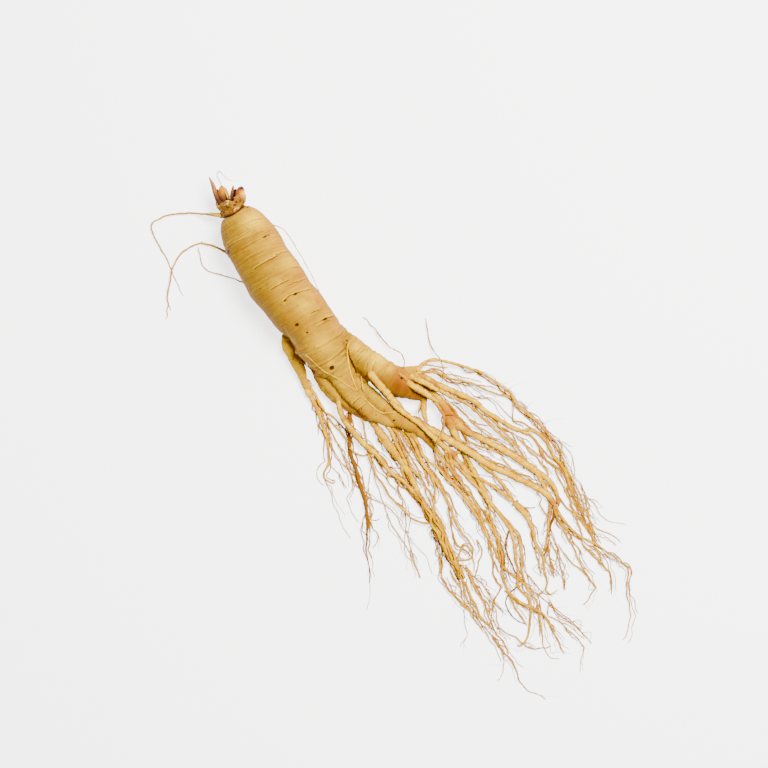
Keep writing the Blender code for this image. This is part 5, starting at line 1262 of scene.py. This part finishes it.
scale_left = husk("scale_left", (
    (-8.6, -9.5, 3.0, 3.4, 2.2), (-10.2, -4.0, 3.2, 3.5, 2.0), (-11.6, 4.0, 2.6, 2.6, 1.6), (-11.9, 9.5, 2.0, 2.2, 1.3),
    (-12.0, 15.0, 1.4, 1.7, 1.0), (-12.6, 19.0, 0.9, 1.1, 0.7), (-13.2, 22.8, 0.5, 0.35, 0.3)), 0.5, 11)
scale_amber = husk("scale_amber", (
    (-5.2, -9.0, 0.0, 4.0, 2.4), (-4.6, -3.0, 1.2, 4.5, 2.6), (-4.2, 2.6, 1.8, 4.6, 2.6), (-4.1, 6.0, 1.6, 4.1, 2.3),
    (-4.3, 9.0, 1.2, 2.8, 1.6), (-4.4, 10.9, 0.8, 1.1, 0.7)), 0.6, 23, curl=0.62)
scale_thin = husk("scale_thin", (
    (-7.4, -4.0, 4.6, 1.3, 1.0), (-8.0, 0.0, 4.8, 1.1, 0.9), (-8.3, 4.5, 4.2, 0.8, 0.7), (-8.6, 8.6, 3.4, 0.3, 0.3)), 0.3, 31)
ridge = husk("crown_ridge", (
    (-1.6, -6.4, 4.6, 0.7, 1.0), (-1.4, -3.0, 5.2, 0.7, 1.0), (-1.5, 1.0, 4.6, 0.6, 0.9), (-1.9, 4.4, 3.8, 0.3, 0.5)), 0.7, 37, curl=0.7)
ridge_b = husk("crown_ridge_b", (
    (0.5, -6.6, 4.2, 0.5, 0.9), (0.6, -3.2, 4.8, 0.5, 0.8), (0.4, -0.4, 4.6, 0.25, 0.4)), 0.5, 38, curl=0.7)
stub = husk("stem_stub_husk", (
    (1.4, -6.0, 4.0, 1.6, 1.8), (2.6, -2.2, 3.8, 1.7, 1.9), (4.2, 1.4, 3.2, 1.6, 1.8), (5.8, 4.6, 2.4, 1.2, 1.4),
    (7.2, 7.4, 1.6, 0.5, 0.7)), 0.5, 41, curl=0.6)
# a near-black sheet inside the broken stem stub: painted shade in its hollow
stub_dark = husk("stem_stub_hollow", (
    (4.2, -6.6, 1.0, 2.6, 1.6), (5.4, -2.4, 1.4, 2.4, 1.6), (6.8, 1.4, 1.2, 1.9, 1.3), (8.0, 3.8, 0.8, 0.9, 0.6)), 0.5, 43, curl=0.8)
bud = Skin()
bud_rows = np.array(((9.4, -9.5, 5.4, 4.2), (9.9, -7.0, 5.6, 5.0), (10.9, -4.0, 5.2, 5.3), (11.6, -1.4, 4.4, 5.1),
                     (12.1, 0.9, 3.6, 4.6), (12.7, 2.7, 2.9, 3.9), (13.3, 3.9, 2.3, 2.8), (13.8, 4.8, 2.0, 1.0)))
span = np.linspace(0, len(bud_rows) - 1, 30)
bud_rows = np.column_stack([np.interp(span, np.arange(len(bud_rows)), bud_rows[:, i]) for i in range(4)])
ang = 2 * np.pi * np.arange(28) / 28
centre = np.array([crown_point(a_, b_, c_) for a_, b_, c_ in bud_rows[:, :3]])
fold = 1 + 0.05 * np.cos(3 * ang + 0.4) - 0.10 * np.exp(-((ang - 1.9) / 0.12) ** 2)
rings = (centre[:, None] + side_crown * (np.cos(ang) * fold)[None, :, None] * bud_rows[:, 3][:, None, None]
         + np.array((0, 0, 0.92)) * (np.sin(ang) * fold)[None, :, None] * bud_rows[:, 3][:, None, None])
bud.loft(rings, np.linspace(0, 12, len(bud_rows)), ang, bud_rows[:, 3], 0.8)
bud = bud.build("bud")


# ------------------------------------------------------------------ materials
class Graph:
    def __init__(self, name):
        self.mat = bpy.data.materials.new(name)
        self.mat.use_nodes = True
        self.t = self.mat.node_tree
        self.shader = self.t.nodes["Principled BSDF"]

    def add(self, kind, **inputs):
        node = self.t.nodes.new(kind)
        for key, value in inputs.items():
            self.put(node.inputs[key.replace("_", " ")] if not key.startswith("i") or not key[1:].isdigit()
                     else node.inputs[int(key[1:])], value)
        return node

    def put(self, socket, value):
        if isinstance(value, bpy.types.NodeSocket):
            self.t.links.new(value, socket)
        else:
            socket.default_value = value

    def attr(self, name):
        node = self.t.nodes.new("ShaderNodeAttribute")
        node.attribute_name = name
        return node.outputs["Fac"]

    def math(self, op, a, b=0.0, clamp=False):
        node = self.t.nodes.new("ShaderNodeMath")
        node.operation = op
        node.use_clamp = clamp
        self.put(node.inputs[0], a)
        self.put(node.inputs[1], b)
        return node.outputs[0]

    def mix(self, fac, a, b, mode="MIX"):
        node = self.t.nodes.new("ShaderNodeMix")
        node.data_type = "RGBA"
        node.blend_type = mode
        self.put(node.inputs[0], fac)
        self.put(node.inputs[6], a)
        self.put(node.inputs[7], b)
        return node.outputs[2]

    def noise(self, vector, scale, detail=3.0, rough=0.55):
        node = self.t.nodes.new("ShaderNodeTexNoise")
        self.put(node.inputs["Vector"], vector)
        node.inputs["Scale"].default_value = scale
        node.inputs["Detail"].default_value = detail
        node.inputs["Roughness"].default_value = rough
        return node.outputs["Fac"]

    def ramp(self, fac, *stops):
        node = self.t.nodes.new("ShaderNodeValToRGB")
        ramp = node.color_ramp
        ramp.elements[0].position, ramp.elements[0].color = stops[0][0], stops[0][1]
        ramp.elements[1].position, ramp.elements[1].color = stops[-1][0], stops[-1][1]
        for pos, colour in stops[1:-1]:
            ramp.elements.new(pos).color = colour
        self.put(node.inputs["Fac"], fac)
        return node.outputs["Color"]

    def step(self, fac, low, high):
        node = self.t.nodes.new("ShaderNodeMapRange")
        node.interpolation_type = "SMOOTHSTEP"
        self.put(node.inputs["Value"], fac)
        node.inputs["From Min"].default_value = low
        node.inputs["From Max"].default_value = high
        return node.outputs[0]

    def xyz(self, x, y, z):
        node = self.t.nodes.new("ShaderNodeCombineXYZ")
        self.put(node.inputs[0], x)
        self.put(node.inputs[1], y)
        self.put(node.inputs[2], z)
        return node.outputs[0]

    def place(self):
        node = self.t.nodes.new("ShaderNodeTexCoord")
        return node.outputs["Object"]


def rgb(r_, g_, b_):
    """An sRGB colour, 0 to 255, as linear."""
    def lin(v):
        v /= 255.0
        return v / 12.92 if v <= 0.04045 else ((v + 0.055) / 1.055) ** 2.4
    return lin(r_), lin(g_), lin(b_), 1.0


def skin_material(name, thin):
    g = Graph(name)
    along_, around_, radius_, tone_ = (g.attr(k) for k in ("along", "around", "radius", "tone"))
    # around the limb, as a circle, so that the pattern has no seam
    cx = g.math("COSINE", around_)
    sx = g.math("SINE", around_)
    # fine growth lines: quick along the limb, slow around it
    lines_ = g.noise(g.xyz(g.math("MULTIPLY", along_, 0.95), g.math("MULTIPLY", cx, 0.9),
                           g.math("ADD", g.math("MULTIPLY", sx, 0.9), g.math("MULTIPLY", tone_, 31.0))), 1.0, 4.0, 0.65)
    bands = g.noise(g.xyz(g.math("MULTIPLY", along_, 0.16), g.math("MULTIPLY", cx, 0.55),
                          g.math("ADD", g.math("MULTIPLY", sx, 0.55), g.math("MULTIPLY", tone_, 17.0))), 1.0, 3.0, 0.6)
    place_ = g.place()
    blotch = g.noise(place_, 95.0, 3.0, 0.6)
    grain = g.noise(place_, 900.0, 4.0, 0.7)
    normal_z = g.t.nodes.new("ShaderNodeSeparateXYZ")
    g.put(normal_z.inputs[0], g.t.nodes.new("ShaderNodeNewGeometry").outputs["Normal"])
    # painted shade: the flanks, where the normal turns away from straight up, get a darker colour
    flank_painted_shade = g.step(normal_z.outputs[2], 0.72, 0.02)
    broad = g.noise(place_, 34.0, 2.0, 0.5)
    if thin:
        base = g.ramp(bands, (0.25, rgb(190, 126, 0)), (0.5, rgb(226, 170, 0)), (0.75, rgb(252, 212, 6)))
        slim = g.ramp(bands, (0.28, rgb(152, 98, 0)), (0.5, rgb(200, 142, 0)), (0.72, rgb(238, 188, 2)))
        base = g.mix(g.step(radius_, 2.6, 1.2), base, slim)
        base = g.mix(g.math("MULTIPLY", g.step(grain, 0.52, 0.68), 0.45), base, rgb(120, 68, 0))
        base = g.mix(g.math("MULTIPLY", g.step(lines_, 0.53, 0.72), 0.6), base, rgb(138, 72, 0))
        base = g.mix(g.math("MULTIPLY", g.step(tone_, 0.66, 1.0), 0.65), base, rgb(142, 74, 2))
        base = g.mix(g.math("MULTIPLY", g.step(radius_, 1.3, 0.3), 0.40), base, rgb(142, 84, 0))
        base = g.mix(g.math("MULTIPLY", g.step(blotch, 0.56, 0.70), 0.5), base, rgb(144, 66, 2))
        for sx_, sy_, sz_, reach, much in ((447, 416, 9, 20, 0.9), (468, 430, 8, 14, 0.6), (453, 455, 6, 8, 1.0), (455, 474, 4, 12, 0.7),
                                           (557, 506, 4, 15, 0.75), (415, 428, 8, 14, 0.5), (366, 408, 9, 12, 0.4),
                                           (434, 384, 12, 9, 0.8),                                            (327, 455, 2, 9, 0.7), (312, 405, 4, 9, 0.5), (318, 428, 3, 9, 0.6),
                                           (399, 444, 6, 10, 0.5), (500, 575, 2, 26, 0.4), (424, 388, 12, 7, 0.5)):
            near_ = g.t.nodes.new("ShaderNodeVectorMath")
            near_.operation = "DISTANCE"
            g.put(near_.inputs[0], place_)
            near_.inputs[1].default_value = tuple(world((sx_, sy_, sz_)))
            close = g.step(near_.outputs["Value"], reach * SHEET, reach * SHEET * 0.35)
            base = g.mix(g.math("MULTIPLY", close, much * 0.8), base, rgb(150, 72, 0))
        base = g.mix(g.math("MULTIPLY", g.step(tone_, 1.2, 1.5), 0.75), base, rgb(96, 52, 2))
        # painted shade: thin roots darker where they turn away from straight up, darkest on their flanks
        base = g.mix(g.math("MULTIPLY", g.step(normal_z.outputs[2], 0.93, 0.35), 0.72), base, rgb(116, 60, 0))
        base = g.mix(g.math("MULTIPLY", flank_painted_shade, 0.6), base, rgb(88, 42, 0))
    else:
        base = g.ramp(bands, (0.28, rgb(134, 94, 0)), (0.5, rgb(152, 110, 0)), (0.72, rgb(170, 127, 0)))
        base = g.mix(g.math("MULTIPLY", g.step(broad, 0.42, 0.66), 0.55), base, rgb(168, 112, 0))
        # painted light: darker olive on the body's left side, away from the key lamp, warmer on its lit right side
        base = g.mix(g.math("MULTIPLY", g.step(g.attr("flank"), -0.1, -1.0), 0.6), base, rgb(128, 92, 0))
        base = g.mix(g.math("MULTIPLY", g.step(g.attr("flank"), 0.40, 0.9), 0.35), base, rgb(170, 108, 2))
        # painted highlight, from the pale attribute
        base = g.mix(g.math("MULTIPLY", g.attr("pale"), 0.85, clamp=True), base, rgb(244, 198, 4))
        ringed = g.math("ADD", g.math("MULTIPLY", g.step(along_, 80.0, 20.0), 0.5), 0.5)
        base = g.mix(g.math("MULTIPLY", g.math("MULTIPLY", g.step(lines_, 0.52, 0.66), 0.62), ringed), base, rgb(112, 66, 0))
        base = g.mix(g.math("MULTIPLY", g.math("MULTIPLY", g.step(lines_, 0.48, 0.35), 0.55), ringed), base, rgb(216, 170, 2))
        base = g.mix(g.math("MULTIPLY", g.step(blotch, 0.55, 0.70), 0.32), base, rgb(134, 76, 0))
        hairlines = g.noise(g.xyz(g.math("MULTIPLY", along_, 2.3), g.math("MULTIPLY", cx, 0.8),
                                  g.math("ADD", g.math("MULTIPLY", sx, 0.8), g.math("MULTIPLY", tone_, 13.0))), 1.0, 3.0, 0.6)
        base = g.mix(g.math("MULTIPLY", g.step(hairlines, 0.58, 0.70), 0.42), base, rgb(112, 64, 0))
        base = g.mix(g.math("MULTIPLY", g.step(grain, 0.52, 0.70), 0.22), base, rgb(110, 62, 0))
        cells = g.add("ShaderNodeTexVoronoi", Vector=place_, Scale=420.0)
        cell_pick = g.t.nodes.new("ShaderNodeSeparateColor")
        g.put(cell_pick.inputs[0], cells.outputs["Color"])
        speck = g.math("MULTIPLY", g.step(cell_pick.outputs[0], 0.72, 0.80), g.step(cells.outputs["Distance"], 0.30, 0.08))
        base = g.mix(g.math("MULTIPLY", speck, 0.6), base, rgb(128, 62, 2))
        # painted shade: darker in the ring grooves
        base = g.mix(g.math("MULTIPLY", g.attr("groove"), 0.45, clamp=True), base, rgb(130, 74, 2))
        base = g.mix(g.math("MULTIPLY", g.step(radius_, 9.0, 3.0), 0.4), base, rgb(192, 136, 0))
        base = g.mix(g.math("MULTIPLY", g.attr("neck"), 0.75), base, rgb(124, 80, 24))
        redder = g.step(g.noise(place_, 720.0, 3.0, 0.65), 0.52, 0.68)
        base = g.mix(g.math("MULTIPLY", g.math("MULTIPLY", g.attr("neck"), redder), 0.7), base, rgb(118, 48, 2))
        darker = g.step(g.noise(place_, 560.0, 3.0, 0.6), 0.50, 0.64)
        base = g.mix(g.math("MULTIPLY", g.math("MULTIPLY", g.attr("neck"), darker), 0.75), base, rgb(66, 32, 14))
        lighter = g.step(g.noise(place_, 460.0, 3.0, 0.6), 0.47, 0.34)
        base = g.mix(g.math("MULTIPLY", g.math("MULTIPLY", g.attr("neck"), lighter), 0.8), base, rgb(236, 184, 74))
        base = g.mix(g.math("MULTIPLY", g.attr("blush"), 0.85), base, rgb(158, 76, 0))
        # brown patches: partly the root's own colour, partly painted shade under and between the limbs
        base = g.mix(g.math("MULTIPLY", g.attr("brown"), 0.9), base, rgb(116, 54, 2))
        # painted shade on the flanks, stronger on the thick limbs
        flank_shade_amount = g.math("ADD", g.math("MULTIPLY", g.step(radius_, 8.0, 18.0), 0.35), 0.20)
        base = g.mix(g.math("MULTIPLY", flank_painted_shade, flank_shade_amount), base, rgb(116, 70, 0))
        # creases: a thin broken dark line, partly the crease's own colour and partly painted shade, with a painted
        # highlight as a light lip on its upper side
        wander = g.math("MULTIPLY", g.math("SUBTRACT", g.noise(place_, 620.0, 3.0, 0.6), 0.5), 1.3)
        off_ = g.math("ADD", g.attr("crease_d"), wander)
        dark_line = g.math("POWER", 2.71828, g.math("MULTIPLY", g.math("MULTIPLY", off_, off_), -1.0))
        broken = g.step(g.noise(place_, 260.0, 3.0, 0.7), 0.34, 0.56)
        strength_ = g.attr("crease_k")
        lip_off = g.math("ADD", off_, 2.3)
        painted_lip_highlight = g.math("POWER", 2.71828, g.math("MULTIPLY", g.math("MULTIPLY", lip_off, lip_off), -0.8))
        off_neck = g.math("SUBTRACT", 1.0, g.attr("neck"), clamp=True)
        painted_lip_highlight = g.math("MULTIPLY", painted_lip_highlight, off_neck)
        base = g.mix(g.math("MULTIPLY", g.math("MULTIPLY", painted_lip_highlight, strength_), 0.5, clamp=True), base, rgb(238, 194, 30))
        full = g.math("MULTIPLY", g.math("ADD", g.math("MULTIPLY", broken, 0.6), 0.4), strength_)
        dark_line = g.math("MULTIPLY", dark_line, full, clamp=True)
        base = g.mix(g.math("MULTIPLY", dark_line, 0.95), base, rgb(84, 38, 4))
        base = g.mix(g.step(g.attr("scar"), 0.28, 0.60), base, rgb(58, 24, 6))
        # painted shade: the inside of the crown's hollow goes very dark
        hollow_painted_shade = g.step(g.attr("hollow"), 0.25, 0.75)
        base = g.mix(hollow_painted_shade, base, g.ramp(grain, (0.3, rgb(34, 12, 3)), (0.7, rgb(84, 36, 12))))
    g.put(g.shader.inputs["Base Color"], base)
    g.put(g.shader.inputs["Roughness"], g.math("ADD", g.math("MULTIPLY", grain, 0.18), 0.50))
    g.shader.inputs["Specular IOR Level"].default_value = 0.04
    relief_ = g.math("ADD", g.math("MULTIPLY", lines_, 0.6), g.math("MULTIPLY", grain, 0.3))
    if not thin:
        relief_ = g.math("SUBTRACT", relief_, g.math("MULTIPLY", dark_line, 0.8))
    bump = g.add("ShaderNodeBump", Strength=0.8, Distance=0.0004 if not thin else 0.0002, Height=relief_)
    g.put(g.shader.inputs["Normal"], bump.outputs[0])
    return g.mat


def husk_material(name, dark, mid, light, rough):
    g = Graph(name)
    along_, around_ = g.attr("along"), g.attr("around")
    fibres = g.noise(g.xyz(g.math("MULTIPLY", along_, 0.12), g.math("MULTIPLY", around_, 4.5), 0.0), 1.0, 4.0, 0.65)
    patch = g.noise(g.place(), 420.0, 3.0, 0.6)
    base = g.ramp(fibres, (0.30, dark), (0.5, mid), (0.72, light))
    base = g.mix(g.math("MULTIPLY", g.step(patch, 0.5, 0.7), 0.55), base, dark)
    base = g.mix(g.math("MULTIPLY", g.step(along_, 7.2, 2.0), 0.92), base, rgb(52, 18, 4))
    g.put(g.shader.inputs["Base Color"], base)
    g.shader.inputs["Roughness"].default_value = rough
    g.shader.inputs["Specular IOR Level"].default_value = 0.12
    bump = g.add("ShaderNodeBump", Strength=0.5, Distance=0.0002, Height=fibres)
    g.put(g.shader.inputs["Normal"], bump.outputs[0])
    return g.mat


root_body.data.materials.append(skin_material("root_skin_body", False))
thin_skin = skin_material("root_skin_thin", True)
rootlets_thick.data.materials.append(thin_skin)
rootlets_fine.data.materials.append(thin_skin)
rootlets_hair.data.materials.append(thin_skin)
brown = husk_material("husk_brown", rgb(92, 42, 16), rgb(160, 104, 48), rgb(204, 148, 82), 0.65)
amber = husk_material("husk_amber", rgb(142, 74, 0), rgb(194, 124, 0), rgb(230, 172, 4), 0.55)
# painted shade: near black, for the hollow of the stem stub
stub_hollow_shade = husk_material("husk_dark", rgb(6, 3, 1), rgb(14, 7, 3), rgb(40, 18, 6), 0.7)
pale = husk_material("husk_pale", rgb(150, 78, 14), rgb(206, 144, 34), rgb(238, 190, 70), 0.55)
tan = husk_material("husk_tan", rgb(70, 30, 8), rgb(118, 62, 18), rgb(160, 94, 32), 0.65)
scale_left.data.materials.append(brown)
scale_thin.data.materials.append(tan)
scale_amber.data.materials.append(amber)
ridge.data.materials.append(pale)
ridge_b.data.materials.append(pale)
stub.data.materials.append(tan)
stub_dark.data.materials.append(stub_hollow_shade)
g = Graph("bud_skin")
along_ = g.attr("along")
mottle = g.noise(g.place(), 380.0, 3.0, 0.6)
around_ = g.attr("around")
around_ = g.attr("around")
tip_at = g.math("ADD", g.math("DIVIDE", along_, 12.0), g.math("MULTIPLY", g.math("COSINE", around_), 0.10))
tip_at = g.math("ADD", tip_at, g.math("MULTIPLY", g.math("SUBTRACT", mottle, 0.5), 0.35))
base = g.ramp(tip_at, (0.0, rgb(132, 84, 4)), (0.20, rgb(190, 140, 6)), (0.40, rgb(214, 160, 6)),
              (0.52, rgb(196, 124, 0)), (0.62, rgb(110, 38, 2)), (0.70, rgb(34, 10, 3)))
base = g.mix(g.math("MULTIPLY", g.step(mottle, 0.54, 0.70), 0.6), base, rgb(140, 56, 2))
base = g.mix(g.math("MULTIPLY", g.step(g.math("COSINE", around_), 0.6, -0.35), 0.9), base, rgb(116, 44, 2))
g.put(g.shader.inputs["Base Color"], base)
g.shader.inputs["Roughness"].default_value = 0.5
g.shader.inputs["Specular IOR Level"].default_value = 0.15
bud.data.materials.append(g.mat)

for piece in (root_body, rootlets_thick, rootlets_fine, rootlets_hair, ridge, ridge_b):
    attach(piece, "root")
    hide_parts("ginseng_root")
for piece, node, slot_name in ((scale_left, "bud_scale_left", "scale_brown"), (scale_thin, "bud_scale_left", "scale_brown"),
                               (scale_amber, "bud_scale_amber", "scale_amber"), (stub, "stem_stub", "stub_dark"),
                               (stub_dark, "stem_stub", "stub_dark"),
                               (bud, "dormant_bud", "bud_cream")):
    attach(piece, "root")
    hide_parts(node)

# ------------------------------------------------------------------ floor, light and camera
KEY, FILL, SKY = 50.0, 5.0, 0.2
bpy.ops.mesh.primitive_plane_add(size=6.0, location=(0, 0, 0))
floor = bpy.context.object
floor.name = "floor"
g = Graph("floor_white")
g.shader.inputs["Base Color"].default_value = (0.93, 0.93, 0.93, 1)
g.shader.inputs["Roughness"].default_value = 0.9
g.shader.inputs["Specular IOR Level"].default_value = 0.0
g.shader.inputs["Emission Color"].default_value = (1, 1, 1, 1)
g.shader.inputs["Emission Strength"].default_value = 2.6
floor.data.materials.append(g.mat)

image_right = Vector((math.cos(TURN), math.sin(TURN), 0))
image_up = Vector((-math.sin(TURN), math.cos(TURN), 0))
look = Vector(world(np.array((384.0, 384.0, 20.0))))


def lamp(name, right, up, high, size, power, colour):
    light = bpy.data.lights.new(name, "AREA")
    light.shape = "DISK"
    light.size = size
    light.energy = power
    light.color = colour
    obj = bpy.data.objects.new(name, light)
    bpy.context.scene.collection.objects.link(obj)
    obj.location = look + image_right * right + image_up * up + Vector((0, 0, high))
    obj.rotation_euler = (look - obj.location).to_track_quat("-Z", "Y").to_euler()


lamp("key", 0.38, 0.34, 1.02, 0.55, KEY, (1.0, 0.985, 0.955))
lamp("fill", 0.9, 0.5, 0.7, 1.0, FILL, (1.0, 0.99, 0.97))

sky = bpy.data.worlds.new("soft_white")
sky.use_nodes = True
sky.node_tree.nodes["Background"].inputs["Color"].default_value = (1, 1, 1, 1)
sky.node_tree.nodes["Background"].inputs["Strength"].default_value = SKY
bpy.context.scene.world = sky

cam_data = bpy.data.cameras.new("camera")
cam_data.lens = 85
cam_data.sensor_width = 36
cam_data.clip_start = 0.05
cam = bpy.data.objects.new("camera", cam_data)
bpy.context.scene.collection.objects.link(cam)
cam.location = look + Vector((0, 0, 768 * SHEET * 85 / 36))
cam.rotation_euler = (0, 0, TURN)
bpy.context.scene.camera = cam
